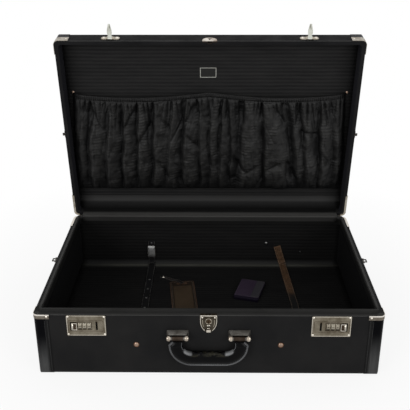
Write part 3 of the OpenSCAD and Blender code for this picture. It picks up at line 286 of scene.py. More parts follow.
def worn_metal(name, dark, dull, bright):
    """The studs on the rear wall: blackened on the left, bright at the tab, dull on the right."""
    made, net, shader = tree(name)
    x = add(net, "ShaderNodeSeparateXYZ", {0: place(net)}).outputs[0]
    stain = span(net, noise_at(net, 500, 4), 0.4, 0.65, 0, 0.5)
    colour = mix(net, smooth(net, x, -0.01, 0.01), dark, mix(net, smooth(net, x, 0.18, 0.2), bright, dull))
    colour = mix(net, stain, colour, dark)
    join(net, shader, Base_Color=colour, Roughness=span(net, stain, 0, 0.5, 0.25, 0.45),
         Normal=bump(net, noise_at(net, 600, 3), 0.15, 0.0002))
    shader.inputs["Metallic"].default_value = 1.0
    return made


def metal(name, bright, stained, rough, scratch=0.5, stain_at=0.5, tab=None):
    """Plated metal with stains and fine scratches; tab colours what reaches inside the line of the lid's front wall, as
    painted shade.
    """
    made, net, shader = tree(name)
    stain = span(net, noise_at(net, 55, 7, 0.68), stain_at - 0.08, stain_at + 0.16, 0, 1)
    speck = span(net, noise_at(net, 420, 4, 0.6), 0.6, 0.75, 0, 0.6)
    both = maths(net, "MAXIMUM", stain, speck)
    colour = mix(net, both, bright, stained)
    # painted shade: what lies beyond the lid's front wall takes the dark tab colour
    if tab:
        height = maths(net, "SUBTRACT", along(net, LID_UP), (LID @ Vector((0, FRONT_Y, 0))).dot(LID_UP))
        colour = mix(net, smooth(net, height, 0.0004, -0.0004), colour, tab)
    lines = noise_at(net, 300, 3, 0.6, stretched(net, (0.12, 1, 2.5)))
    shade = span(net, maths(net, "ADD", maths(net, "MULTIPLY", lines, 0.4), maths(net, "MULTIPLY", both, 0.5)),
                 0.1, 0.9, rough, rough + 0.28)
    normal = bump(net, lines, 0.12 * scratch, 0.0002)
    normal = bump(net, noise_at(net, 90, 3), 0.1, 0.0006, normal)
    join(net, shader, Base_Color=colour, Roughness=shade, Normal=normal)
    shader.inputs["Metallic"].default_value = 1.0
    return made


def fold_cloth(name, dark, light, shadow):
    """The padded fold along the floor: a thin painted highlight along its foot, with painted shade above it and toward
    both ends.
    """
    made, net, shader = tree(name)
    x, y, z = sides(net)
    drift = noise_at(net, 18, 5, 0.6, stretched(net, (0.4, 1, 1)))
    # painted highlight at the fold's foot; where it fades, the shadow colour is painted shade
    foot = smooth(net, maths(net, "ABSOLUTE", maths(net, "SUBTRACT", z, BASE_WALL + 0.0016)), 0.0026, 0.0006)
    foot = maths(net, "MAXIMUM", foot, smooth(net, z, BASE_WALL + 0.009, BASE_WALL + 0.0005, 0.0, 0.34))
    near = smooth(net, y, INNER_Y - 0.020, INNER_Y - 0.012)
    ends = smooth(net, x, 0.32, 0.20, 0.45, 1.0)
    band = maths(net, "MULTIPLY", maths(net, "MULTIPLY", foot, near), maths(net, "MULTIPLY", ends, span(net, drift, 0.3, 0.7, 0.75, 1.1)))
    return cloth_ends(made, net, shader, mix(net, band, shadow, mix(net, drift, dark, light)), drift)


def cloth_ends(made, net, shader, colour, drift):
    """The fine weave and the soft sheen shared by the smooth cloth pieces."""
    normal = bump(net, noise_at(net, 900, 2), 0.3, 0.0002)
    normal = bump(net, drift, 0.3, 0.002, normal)
    join(net, shader, Base_Color=colour, Normal=normal, Roughness=span(net, drift, 0.3, 0.7, 0.55, 0.7))
    shader.inputs["Specular IOR Level"].default_value = 0.15
    return made


def roll_cloth(name, dark, light):
    """The lid's rounded fold: a painted highlight along its upper part, painted shade where it turns in to the hinge
    side.
    """
    made, net, shader = tree(name)
    z = sides(net)[2]
    drift = noise_at(net, 14, 5, 0.6, stretched(net, (0.35, 1, 1)))
    # painted highlight on the upper part of the fold, painted shade below it
    upper = smooth(net, maths(net, "ADD", z, maths(net, "MULTIPLY", drift, 0.003)), BASE_H + 0.0262, BASE_H + 0.0315)
    band = maths(net, "MULTIPLY", upper, span(net, drift, 0.3, 0.7, 0.8, 1.1))
    return cloth_ends(made, net, shader, mix(net, band, dark, light), drift)


def strip_cloth(name, dark, light):
    """The strip over the hinge gap: a painted highlight along the lip's edge, painted shade below it and darker toward
    the lid.
    """
    made, net, shader = tree(name)
    parts = add(net, "ShaderNodeSeparateXYZ", {0: place(net)})
    y, z = parts.outputs[1], parts.outputs[2]
    drift = noise_at(net, 22, 5, 0.6, stretched(net, (0.4, 1, 1)))
    # painted highlight along the lip's edge, painted shade below it and toward the lid
    skirt_light = smooth(net, z, BASE_H + 0.003, BASE_H + 0.007, 0.30, 1.0)
    back = smooth(net, y, REAR_Y + 0.003, REAR_Y - 0.006)
    band = maths(net, "MULTIPLY", maths(net, "MULTIPLY", skirt_light, back), span(net, drift, 0.3, 0.7, 0.8, 1.15))
    return cloth_ends(made, net, shader, mix(net, band, dark, light), drift)


def lip_leather(name, dark, light):
    """The inner lip: a painted highlight along its upper edge and across the front, painted shade down its inner face.
    """
    made, net, shader = tree(name)
    parts = add(net, "ShaderNodeSeparateXYZ", {0: place(net)})
    y, z = parts.outputs[1], parts.outputs[2]
    drift = noise_at(net, 20, 5, 0.6)
    # painted highlight toward the top and across the front, painted shade lower down
    rubbed = smooth(net, z, BASE_H - 0.004, BASE_H + 0.0072, 0.05, 1.0)
    rubbed = maths(net, "MULTIPLY", maths(net, "MAXIMUM", rubbed, smooth(net, y, -0.18, -0.21)), smooth(net, y, -0.21, -0.19, 0.46, 1.0))
    band = maths(net, "MULTIPLY", rubbed, span(net, drift, 0.3, 0.7, 0.8, 1.15))
    colour = mix(net, band, dark, light)
    normal = bump(net, cells_at(net, 1400), 0.35, 0.00025)
    join(net, shader, Base_Color=colour, Normal=normal, Roughness=span(net, drift, 0.3, 0.7, 0.5, 0.65))
    shader.inputs["Specular IOR Level"].default_value = 0.08
    return made


def gathered_cloth(name, dark, light):
    """The pocket's ribbed cloth: painted shade makes it nearly black deep in the folds, painted light paler along their
    crests.
    """
    made, net, shader = tree(name)
    out = (LID.to_3x3() @ Vector((0, 0, 1))).normalized()
    # painted shade and light by stand-off from the panel: dark deep in the folds, paler toward the tops of the folds
    height = maths(net, "SUBTRACT", along(net, out), (LID @ Vector((0, 0, LID_WALL))).dot(out))
    painted_fold_shade = smooth(net, height, 0.0082, 0.0205)
    drift = noise_at(net, 22, 4)
    phase = maths(net, "ADD", maths(net, "MULTIPLY", along(net, LID_UP), 2 * math.pi / 0.0076), maths(net, "MULTIPLY", drift, 9))
    rib = span(net, add(net, "ShaderNodeMath", {0: phase}, operation="SINE").outputs[0], -1, 1, 0, 1)
    patch = span(net, noise_at(net, 34, 4, 0.6, stretched(net, (1.6, 0.8, 0.8))), 0.46, 0.62, 0.05, 1)
    water = span(net, noise_at(net, 45, 6, 0.65, stretched(net, (0.6, 1.6, 1.6))), 0.36, 0.68, 0, 1)
    weave = maths(net, "ADD", maths(net, "MULTIPLY", maths(net, "MULTIPLY", rib, patch), 0.6), maths(net, "MULTIPLY", water, 0.35))
    blend = maths(net, "MULTIPLY", maths(net, "ADD", weave, 0.15), painted_fold_shade)
    normal = bump(net, maths(net, "MULTIPLY", rib, patch), 0.35, 0.0012)
    normal = bump(net, noise_at(net, 900, 2), 0.3, 0.0002, normal)
    join(net, shader, Base_Color=mix(net, blend, dark, light), Normal=normal, Roughness=span(net, water, 0, 1, 0.5, 0.66))
    shader.inputs["Specular IOR Level"].default_value = 0.22
    return made


def cloth(name, dark, light, pitch, direction, ribs=0.6, rough=0.9, watered=0.5, sheen=0.0, specular=0.05):
    """Woven lining with raised ribs across the given direction and a watered pattern over them."""
    made, net, shader = tree(name)
    drift = noise_at(net, 9, 3)
    run = add(net, "ShaderNodeMath", {0: along(net, direction), 1: 1 / pitch}, operation="MULTIPLY").outputs[0]
    phase = maths(net, "ADD", run, maths(net, "MULTIPLY", drift, 0.35))
    rib = add(net, "ShaderNodeMath", {0: maths(net, "MULTIPLY", phase, 2 * math.pi)}, operation="SINE").outputs[0]
    rib = span(net, rib, -1, 1, 0, 1)
    water = noise_at(net, 30, 6, 0.65, stretched(net, (0.35, 2.2, 2.2)))
    water = span(net, water, 0.38, 0.68, 0, 1)
    fine = noise_at(net, 900, 2)
    blend = maths(net, "ADD", maths(net, "MULTIPLY", rib, ribs * 0.6), maths(net, "MULTIPLY", water, watered * 0.6))
    colour = mix(net, blend, dark, light)
    normal = bump(net, rib, 0.35 * ribs, 0.0012)
    normal = bump(net, fine, 0.3, 0.0002, normal)
    normal = bump(net, water, 0.3 * watered, 0.0006, normal)
    join(net, shader, Base_Color=colour, Normal=normal, Roughness=span(net, fine, 0.3, 0.7, rough - 0.08, rough))
    shader.inputs["Specular IOR Level"].default_value = specular
    shader.inputs["Sheen Weight"].default_value = sheen
    shader.inputs["Sheen Roughness"].default_value = 0.45
    return made


def webbing(name, dark, light, direction, pitch=0.0022):
    made, net, shader = tree(name)
    run = maths(net, "MULTIPLY", along(net, direction), 2 * math.pi / pitch)
    rib = span(net, add(net, "ShaderNodeMath", {0: run}, operation="SINE").outputs[0], -1, 1, 0, 1)
    patch = noise_at(net, 35, 5)
    colour = mix(net, span(net, patch, 0.35, 0.7, 0, 1), dark, light)
    normal = bump(net, rib, 0.4, 0.0004)
    normal = bump(net, noise_at(net, 700, 3), 0.35, 0.0003, normal)
    join(net, shader, Base_Color=colour, Normal=normal, Roughness=span(net, patch, 0.3, 0.7, 0.6, 0.85))
    shader.inputs["Specular IOR Level"].default_value = 0.08
    return made


def plain(name, dark, light, scale, rough):
    """A surface that only varies a little, for threads, figures and board."""
    made, net, shader = tree(name)
    patch = noise_at(net, scale, 4)
    join(net, shader, Base_Color=mix(net, patch, dark, light), Roughness=span(net, patch, 0.3, 0.7, rough - 0.1, rough),
         Normal=bump(net, noise_at(net, scale * 8, 3), 0.2, 0.0002))
    shader.inputs["Specular IOR Level"].default_value = 0.3
    return made


WARM = (0.40, 0.36, 0.29)
WARM_STAIN = (0.17, 0.14, 0.095)
look = {
    # case_leather's last colour is the painted light on top of the front rim
    "case_leather": leather("case_leather", (0.0075, 0.0075, 0.0078), (0.0125, 0.0122, 0.012), 0.0009, 0.56, 0.06, 0.06,
                            (0.030, 0.0295, 0.0285)),
    "lid_leather_look": leather("lid_leather_look", (0.008, 0.008, 0.0085), (0.013, 0.013, 0.0135), 0.0009, 0.6, 0.03, 0.10),
    # corner_leather: its pale colour is a painted highlight
    "corner_leather": cover_leather("corner_leather", (0.0012, 0.0012, 0.0018), (0.054, 0.0545, 0.0545),
                                    (0.0105, 0.0105, 0.0105), 0.022, 0.098),
    "lid_corner_leather": leather("lid_corner_leather", (0.008, 0.008, 0.0092), (0.017, 0.017, 0.019), 0.0012, 0.4, 0.05, 0.3),
    # handle_leather: its olive colour is painted sheen, its pale colour painted highlights
    "handle_leather": grip_leather("handle_leather", (0.0016, 0.0016, 0.0018), (0.034, 0.032, 0.022), (0.22, 0.225, 0.23)),
    # handle_edge: pale leather for the welts, a painted highlight
    "handle_edge": leather("handle_edge", (0.05, 0.051, 0.053), (0.11, 0.112, 0.115), 0.0008, 0.4, 0.1, 0.05),
    "lip_cloth": lip_leather("lip_cloth", (0.0035, 0.0035, 0.0034), (0.040, 0.0395, 0.038)),
    "tag_leather": leather("tag_leather", (0.032, 0.021, 0.012), (0.048, 0.033, 0.02), 0.001, 0.62, 0.15, 0.12),
    "tag_edge": leather("tag_edge", (0.012, 0.008, 0.0055), (0.022, 0.015, 0.01), 0.001, 0.55, 0.15, 0.1),
    "tag_strap": leather("tag_strap", (0.006, 0.005, 0.0045), (0.014, 0.011, 0.010), 0.001, 0.5, 0.2, 0.15),
    "pouch_leather": leather("pouch_leather", (0.025, 0.017, 0.030), (0.037, 0.026, 0.043), 0.0009, 0.6, 0.1, 0.06),
    "pouch_pale": leather("pouch_pale", (0.028, 0.0265, 0.031), (0.041, 0.039, 0.044), 0.0009, 0.6, 0.1, 0.06),
    "pale_thread": plain("pale_thread", (0.04, 0.035, 0.045), (0.08, 0.07, 0.09), 260, 0.8),
    "brown_strap": leather("brown_strap", (0.030, 0.017, 0.011), (0.065, 0.040, 0.027), 0.0008, 0.65, 0.1, 0.15),
    "worn_strap": strap_leather("worn_strap", (0.022, 0.012, 0.007), (0.105, 0.060, 0.034), (0.008, 0.008, 0.0078)),
    "tan_thread": plain("tan_thread", (0.07, 0.055, 0.04), (0.16, 0.13, 0.10), 260, 0.8),
    "tan_edge": leather("tan_edge", (0.07, 0.036, 0.02), (0.17, 0.105, 0.07), 0.0008, 0.6, 0.1, 0.1),
    # pouch_side: a darker copy of the pouch leather for its side faces, painted shade
    "pouch_side": leather("pouch_side", (0.0045, 0.0035, 0.008), (0.009, 0.0065, 0.014), 0.0009, 0.6, 0.06, 0.05),
    "worn_thread": plain("worn_thread", (0.09, 0.065, 0.045), (0.24, 0.18, 0.13), 260, 0.8),
    "stud_metal": worn_metal("stud_metal", (0.035, 0.035, 0.035), (0.16, 0.16, 0.16), (0.17, 0.17, 0.165)),
    "black_strap": webbing("black_strap", (0.0035, 0.0035, 0.0037), (0.007, 0.007, 0.0075), (0.1, 0.7, 0.7)),
    # lining and side_lining are darker copies of the lid's cloth: painted shade for the base's interior
    "lining": cloth("lining", (0.0045, 0.0045, 0.0047), (0.0125, 0.0123, 0.0118), 0.0086, (0, 1, 1), 0.8),
    "base_fold": fold_cloth("base_fold", (0.032, 0.032, 0.027), (0.060, 0.060, 0.052), (0.0055, 0.0055, 0.0055)),
    "lid_fold": roll_cloth("lid_fold", (0.0022, 0.0022, 0.0022), (0.0235, 0.0232, 0.0228)),
    "lid_side": cloth("lid_side", (0.0125, 0.0125, 0.0148), (0.021, 0.021, 0.0242), 0.0086, (0, 0, 1), 0.1),
    # side_lining: the darkest copy of the cloth, painted shade on the end sheets
    "side_lining": cloth("side_lining", (0.0035, 0.0035, 0.0037), (0.007, 0.007, 0.007), 0.0086, (0, 0, 1), 0.15),
    "lid_lining": cloth("lid_lining", (0.0092, 0.0092, 0.0095), (0.0235, 0.0231, 0.0226), 0.0086, LID_UP, 0.8, 0.8, 0.5),
    "pocket_cloth": gathered_cloth("pocket_cloth", (0.0010, 0.0010, 0.0011), (0.029, 0.0285, 0.0275)),
    "hinge_cloth": strip_cloth("hinge_cloth", (0.003, 0.003, 0.003), (0.044, 0.043, 0.041)),
    "catch_metal": metal("catch_metal", (0.11, 0.102, 0.09), (0.045, 0.04, 0.034), 0.4, 0.6),
    "nickel": metal("nickel", WARM, WARM_STAIN, 0.26),
    "bright_nickel": metal("bright_nickel", (0.62, 0.58, 0.51), (0.36, 0.32, 0.25), 0.16, 0.3, 0.6),
    "knob_nickel": metal("knob_nickel", (0.50, 0.45, 0.38), (0.20, 0.155, 0.12), 0.2, 0.3, 0.5),
    "plate_nickel": metal("plate_nickel", (0.225, 0.20, 0.155), (0.115, 0.097, 0.069), 0.34, 1.0, 0.47),
    "corner_nickel": metal("corner_nickel", (0.40, 0.37, 0.32), (0.22, 0.19, 0.145), 0.28, 0.6, 0.5),
    # front_nickel: its first colour is the painted highlight along the plates' top edge
    "front_nickel": plate_metal("front_nickel", (0.72, 0.68, 0.62), (0.19, 0.168, 0.14), (0.11, 0.092, 0.072)),
    "hasp_nickel": metal("hasp_nickel", (0.64, 0.65, 0.59), (0.36, 0.35, 0.29), 0.24, 0.4, 0.52),
    # key_hasp's last colour is painted shade on the tab below the lid's edge
    "key_hasp": metal("key_hasp", (0.70, 0.65, 0.58), (0.26, 0.20, 0.155), 0.2, 0.4, 0.47, (0.022, 0.018, 0.015)),
    # lid_piping: paler leather for the lid's rim bead, a painted highlight
    "lid_piping": leather("lid_piping", (0.042, 0.042, 0.040), (0.070, 0.069, 0.065), 0.0008, 0.42, 0.3, 0.1),
    "dial_metal": metal("dial_metal", (0.34, 0.31, 0.25), (0.17, 0.145, 0.105), 0.22, 0.5, 0.55),
    "steel": metal("steel", (0.36, 0.35, 0.33), (0.17, 0.15, 0.13), 0.38, 1.0),
    "mount_metal": metal("mount_metal", (0.13, 0.123, 0.112), (0.06, 0.055, 0.048), 0.42, 0.6),
    "eye_metal": metal("eye_metal", (0.050, 0.037, 0.028), (0.022, 0.015, 0.011), 0.45, 0.5),
    "copper": metal("copper", (0.30, 0.215, 0.165), (0.12, 0.065, 0.04), 0.3, 0.4, 0.55),
    # copper_ring: the dark rings round the rivets, painted shade
    "copper_ring": metal("copper_ring", (0.16, 0.085, 0.05), (0.07, 0.035, 0.02), 0.45, 0.4),
    "label": plain("label", (0.0012, 0.0012, 0.001), (0.005, 0.005, 0.004), 60, 0.45),
    "label_edge": metal("label_edge", (0.52, 0.52, 0.48), (0.34, 0.335, 0.29), 0.4, 0.3, 0.6),
    "thread": plain("thread", (0.02, 0.02, 0.02), (0.05, 0.05, 0.05), 300, 0.8),
    "figures": plain("figures", (0.008, 0.007, 0.006), (0.02, 0.018, 0.015), 300, 0.6),
    "board": plain("board", (0.25, 0.19, 0.12), (0.38, 0.3, 0.2), 90, 0.8),
    "shield_metal": metal("shield_metal", (0.072, 0.062, 0.047), (0.028, 0.022, 0.015), 0.36, 0.8, 0.47),
    "brown_metal": metal("brown_metal", (0.075, 0.055, 0.038), (0.03, 0.02, 0.013), 0.42, 0.5, 0.5),
    "barrel_metal": metal("barrel_metal", (0.06, 0.04, 0.024), (0.02, 0.012, 0.008), 0.4, 0.5, 0.48),
    "strap_thread": plain("strap_thread", (0.05, 0.048, 0.045), (0.12, 0.115, 0.11), 260, 0.8),
    "buckle": metal("buckle", (0.36, 0.36, 0.355), (0.17, 0.17, 0.165), 0.5, 0.3, 0.5),
    "eyelet": metal("eyelet", (0.17, 0.17, 0.165), (0.08, 0.08, 0.075), 0.4, 0.4, 0.5),
    # piping: paler leather for the base's rim bead, a painted highlight
    "piping": leather("piping", (0.020, 0.020, 0.0193), (0.034, 0.0335, 0.0315), 0.0008, 0.42, 0.3, 0.1),
    "dark": plain("dark", (0.004, 0.004, 0.004), (0.009, 0.009, 0.009), 120, 0.7),
}

NODE_LOOK = {
    "base_shell": "board", "lid_shell": "board", "base_leather": "case_leather", "lid_leather": "lid_leather_look",
    "base_lip": "lip_cloth", "base_corner_covers": "corner_leather", "lid_corner_covers": "lid_corner_leather",
    "base_corner_plates": "front_nickel", "lid_corner_plates": "corner_nickel", "base_rivets": "bright_nickel",
    "lid_rivets": "bright_nickel", "lock_plates": "plate_nickel", "lock_cases": "steel", "lock_spindles": "steel",
    "key_lock_plate": "shield_metal", "key_lock_case": "steel", "key_barrel": "barrel_metal", "key_lock_latch": "bright_nickel",
    "left_lock_button": "brown_metal", "right_lock_button": "brown_metal", "left_lock_spring": "steel",
    "right_lock_spring": "steel", "handle_mounts": "mount_metal", "handle_pins": "knob_nickel",
    "handle_eyes": "eye_metal", "handle_core": "steel", "strap_rivets": "copper", "left_strap_buckle": "bright_nickel",
    "strap_studs": "stud_metal", "catch_plates": "catch_metal", "left_catch_loop": "catch_metal", "right_catch_loop": "catch_metal",
    "base_hinge_leaves": "steel", "lid_hinge_leaves": "steel", "hinge_pins": "steel", "pocket_studs": "copper",
    "label_plate": "label", "hasp_plates": "nickel", "hasp_pins": "steel", "left_hasp": "hasp_nickel",
    "right_hasp": "hasp_nickel", "key_lock_hasp": "key_hasp", "catch_keepers": "catch_metal",
}
for side in ("left", "right"):
    for number in (1, 2, 3):
        NODE_LOOK[f"{side}_dial_{number}"] = "dial_metal"
for name, made in NODE_LOOK.items():
    mesh = nodes[name].data
    mesh.materials.clear()
    mesh.materials.append(look[made])


# Building blocks for pieces
def piece(name, verts, faces, material, body, smooth=True, matrix=None):
    mesh = bpy.data.meshes.new(name)
    mesh.from_pydata([tuple(v) for v in verts], [], faces)
    made = bpy.data.objects.new(name, mesh)
    bpy.context.scene.collection.objects.link(made)
    if matrix is not None:
        mesh.transform(matrix)
    work = bmesh.new()
    work.from_mesh(mesh)
    bmesh.ops.recalc_face_normals(work, faces=work.faces)
    work.to_mesh(mesh)
    work.free()
    mesh.materials.append(look[material])
    if smooth:
        mesh.polygons.foreach_set("use_smooth", [True] * len(mesh.polygons))
    if body:
        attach(made, body)
    return made


def modify(made, kind, **settings):
    modifier = made.modifiers.new(kind.lower(), kind)
    for key, value in settings.items():
        setattr(modifier, key, value)
    return modifier


def settle(made):
    """Applies every modifier of a piece, so that its mesh is final."""
    graph = bpy.context.evaluated_depsgraph_get()
    mesh = bpy.data.meshes.new_from_object(made.evaluated_get(graph))
    made.modifiers.clear()
    made.data = mesh


def grid(columns, rows, point):
    """Vertices and faces of a sheet; point gets a column and a row, from 0 to 1 each."""
    verts = [point(i / columns, j / rows) for j in range(rows + 1) for i in range(columns + 1)]
    wide = columns + 1
    faces = [(j * wide + i, j * wide + i + 1, (j + 1) * wide + i + 1, (j + 1) * wide + i)
             for j in range(rows) for i in range(columns)]
    return verts, faces


def together(parts):
    """One list of vertices and faces from several."""
    verts, faces = [], []
    for some, links in parts:
        shift = len(verts)
        verts += some
        faces += [tuple(v + shift for v in f) for f in links]
    return verts, faces


def tube(rings, closed=False, caps=True):
    """Faces round a list of rings with the same number of points."""
    count, size = len(rings), len(rings[0])
    verts = [p for ring in rings for p in ring]
    faces = []
    for i in range(count if closed else count - 1):
        j = (i + 1) % count
        for k in range(size):
            n = (k + 1) % size
            faces.append((i * size + k, i * size + n, j * size + n, j * size + k))
    if caps and not closed:
        faces.append(tuple(range(size))[::-1])
        faces.append(tuple((count - 1) * size + k for k in range(size)))
    return verts, faces


def wire(path, radius, sides=8, closed=False):
    """A round wire along a path of points."""
    rings = []
    count = len(path)
    up = None
    for i, point in enumerate(path):
        before = path[(i - 1) % count] if closed or i else point
        after = path[(i + 1) % count] if closed or i < count - 1 else point
        way = (Vector(after) - Vector(before)).normalized()
        if up is None:
            up = way.orthogonal().normalized()
        side = way.cross(up).normalized()
        up = side.cross(way).normalized()
        rings.append([Vector(point) + (math.cos(a) * side + math.sin(a) * up) * radius
                      for a in (2 * math.pi * k / sides for k in range(sides))])
    return tube(rings, closed)


def stitches(path, normals, pitch=0.0032, length=0.0022, thick=0.00045):
    """Short raised threads along a path that lies on a surface with the given normals."""
    parts = []
    carried = 0.0
    for i in range(len(path) - 1):
        a, b = Vector(path[i]), Vector(path[i + 1])
        reach = (b - a).length
        if reach < 1e-9:
            continue
        way = (b - a) / reach
        normal = Vector(normals[i]).normalized()
        side = way.cross(normal).normalized()
        at = carried
        long_run = reach > 3 * length
        while at < reach:
            if not long_run or length / 2 <= at <= reach - length / 2:
                middle = a + way * at
                rings = []
                for s, r in ((-0.5, 0.35), (-0.32, 0.9), (0, 1.0), (0.32, 0.9), (0.5, 0.35)):
                    centre = middle + way * s * length
                    rings.append([centre + side * thick * r * math.cos(t) + normal * thick * 0.75 * r * math.sin(t)
                                  for t in (math.pi * k / 3 for k in range(6))])
                parts.append(tube(rings))
            at += pitch
        carried = at - reach
    return together(parts)


def line(points, steps=24):
    """A finer version of a bent line, as a smooth curve through its points."""
    made = []
    points = [Vector(p) for p in points]
    for i in range(len(points) - 1):
        p0, p1, p2, p3 = points[max(i - 1, 0)], points[i], points[i + 1], points[min(i + 2, len(points) - 1)]
        for k in range(steps):
            t = k / steps
            made.append(0.5 * (2 * p1 + (p2 - p0) * t + (2 * p0 - 5 * p1 + 4 * p2 - p3) * t * t
                               + (3 * p1 - p0 - 3 * p2 + p3) * t ** 3))
    return made + [points[-1]]


def rounded(half_x, half_y, r, steps=6):
    """The outline of a rectangle with round corners, anticlockwise."""
    made = []
    for cx, cy, start in ((half_x - r, half_y - r, 0), (r - half_x, half_y - r, 90),
                          (r - half_x, r - half_y, 180), (half_x - r, r - half_y, 270)):
        for k in range(steps + 1):
            a = math.radians(start + 90 * k / steps)
            made.append((cx + r * math.cos(a), cy + r * math.sin(a)))
    return made


def soft_noise(x, y, z=0.0):
    return noise.noise(Vector((x, y, z)))


# The lining of the base: one ribbed sheet from the front wall over the floor, the fold and the rear wall
RIB = 0.0086
CLOTH_T = 0.0011
BASE_COVE = 0.014
LID_COVE = 0.025


def lining_profile(depth_half, wall, top, cove):
    """Points (y, z, normal) from the top of the front wall round to the top of the rear wall."""
    made = []
    step = RIB / 10
    floor = wall

    def straight(a, b, normal):
        reach = math.dist(a, b)
        count = max(2, round(reach / step))
        for k in range(count):
            t = k / count
            made.append((a[0] + (b[0] - a[0]) * t, a[1] + (b[1] - a[1]) * t, normal))

    straight((-depth_half, top), (-depth_half, floor + 0.004), (1, 0))
    for k in range(6):
        a = math.radians(180 + 90 * k / 6)
        made.append((-depth_half + 0.004 + 0.004 * math.cos(a), floor + 0.004 + 0.004 * math.sin(a),
                     (-math.cos(a), -math.sin(a))))
    straight((-depth_half + 0.004, floor), (depth_half - cove, floor), (0, 1))
    count = round(math.pi / 2 * cove / step)
    for k in range(count):
        a = math.radians(-90 + 90 * k / count)
        bulge = 0.0
        made.append((depth_half - cove + (cove - bulge) * math.cos(a), floor + cove + (cove - bulge) * math.sin(a),
                     (-math.cos(a), -math.sin(a))))
    straight((depth_half, floor + cove), (depth_half, top), (-1, 0))
    made.append((depth_half, top, (-1, 0)))
    return made


def in_fold(point):
    """True on the rounded fold and on the small turn at the front, which have no ribs."""
    return abs(point[2][0]) > 0.02 and abs(point[2][1]) > 0.02


COLUMNS = 40


def ribbed(half_x, profile, height, seed, plain_above=1.0, rooms=()):
    """A sheet across the case with ribs that swell and fade; rooms are openings (x, x, z) in the front wall."""
    spots = [-half_x + 2 * half_x * i / COLUMNS for i in range(COLUMNS + 1)]
    for room in rooms:
        for x in room[:2]:
            spots[min(range(1, COLUMNS), key=lambda i: abs(spots[i] - x))] = x
    lengths = [0.0]
    for a, b in zip(profile, profile[1:]):
        lengths.append(lengths[-1] + math.dist(a[:2], b[:2]))
    verts = []
    for (y, z, n), run in zip(profile, lengths):
        flat = in_fold((y, z, n)) or z > plain_above
        for x in spots:
            swell = 0.65 + 0.5 * soft_noise(x * 9, run * 8, seed)
            phase = run / RIB + 0.10 * soft_noise(x * 4, run * 12, seed + 5)
            lift = 0.0 if flat else height * swell * (0.5 - 0.5 * math.cos(2 * math.pi * phase)) ** 1.6
            verts.append((x, y + n[0] * lift, z + n[1] * lift))
    wide = COLUMNS + 1
    faces = [(j * wide + i, j * wide + i + 1, (j + 1) * wide + i + 1, (j + 1) * wide + i)
             for j, row in enumerate(profile[:-1]) for i in range(COLUMNS)
             if not any(row[0] < 0 and row[1] > low and left <= (spots[i] + spots[i + 1]) / 2 <= right
                        for left, right, low in rooms)]
    return verts, faces


def fold_slots(made, profile, material, reach):
    """Gives the smooth fold and the floor behind reach its own cloth."""
    made.data.materials.append(look[material])
    for face in made.data.polygons:
        row = profile[face.vertices[0] // (COLUMNS + 1)]
        if row[0] > 0 and (in_fold(row) or row[0] > reach and row[2] == (0, 1)):
            face.material_index = 1


def side_sheets(half_x, half_y, wall, cove, top):
    """The two plain end sheets with their round upright corners."""
    parts = []
    rows = 24
    spots = [half_y - INNER_R * (1 - math.cos(math.pi / 2 * k / 8)) for k in range(9)]
    inner = half_y - INNER_R
    spots += [inner - 2 * inner * k / 60 for k in range(1, 61)]
    spots += [-inner - INNER_R * math.sin(math.pi / 2 * k / 8) for k in range(1, 9)]
    for s in (-1, 1):
        verts, faces = [], []
        for y in spots:
            over = max(0.0, abs(y) - inner)
            x = half_x - INNER_R + math.sqrt(max(0.0, INNER_R ** 2 - over ** 2))
            far = max(0.0, y - (half_y - cove))
            low = wall + cove - math.sqrt(max(0.0, cove ** 2 - far ** 2))
            for j in range(rows + 1):
                verts.append((s * x, y, low + (top - low) * j / rows))
        wide = rows + 1
        for i in range(len(spots) - 1):
            for j in range(rows):
                a = i * wide + j
                faces.append((a, a + wide, a + wide + 1, a + 1))
        parts.append((verts, faces))
    return parts


def base_lining():
    profile = lining_profile(INNER_Y, BASE_WALL + 0.0001, BASE_H - 0.0152, BASE_COVE)
    rooms = [(s * LOCK_X - 0.033, s * LOCK_X + 0.033, LOCK_Z - 0.019) for s in (-1, 1)]
    made = piece("base_lining_cloth", *ribbed(INNER_X, profile, 0.0005, 3, rooms=rooms), "lining", "base")
    fold_slots(made, profile, "base_fold", INNER_Y - 0.024)
    modify(made, "SOLIDIFY", thickness=CLOTH_T, offset=-1)
    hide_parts("base_lining")
    ends = piece("base_lining_ends", *together(side_sheets(INNER_X - 0.0001, INNER_Y - 0.0001, BASE_WALL, BASE_COVE, profile[0][1])),
                 "side_lining", "base")
    modify(ends, "SOLIDIFY", thickness=CLOTH_T, offset=0)
    # a welt where the padded fold meets the floor
    y = INNER_Y - 0.024
    path = [(-INNER_X + 0.004 + (2 * INNER_X - 0.008) * k / 60, y, BASE_WALL + 0.0004) for k in range(61)]
    welt = piece("base_fold_welt", *wire(path, 0.0006), "side_lining", "base")


def lid_lining():
    half_x = SIDE_X - LID_WALL
    half_y = CASE_D / 2 - LID_WALL
    profile = lining_profile(half_y, LID_WALL + 0.0001, LID_H - 0.0016, LID_COVE)
    made = piece("lid_lining_cloth", *ribbed(half_x, profile, 0.0005, 11, LID_H - 0.0105), "lid_lining", "lid", matrix=LID)
    fold_slots(made, profile, "lid_fold", half_y)
    modify(made, "SOLIDIFY", thickness=CLOTH_T, offset=1)
    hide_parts("lid_lining")
    ends = piece("lid_lining_ends", *together(side_sheets(half_x + 0.0003, half_y + 0.0003, LID_WALL, LID_COVE, profile[0][1])),
                 "lid_side", "lid", matrix=LID)
    modify(ends, "SOLIDIFY", thickness=CLOTH_T, offset=0)


# The gathered pocket in the lid
POCKET_HALF = 0.306
POCKET_LOW = 0.054
POCKET_TOP = 0.314
POCKET_FULL = 0.017


def pocket_edge(x):
    turn = 2 * math.pi * abs(x) / (2 * POCKET_HALF)
    return POCKET_TOP - 0.011 * math.sin(turn) - 0.005 * abs(x) / POCKET_HALF


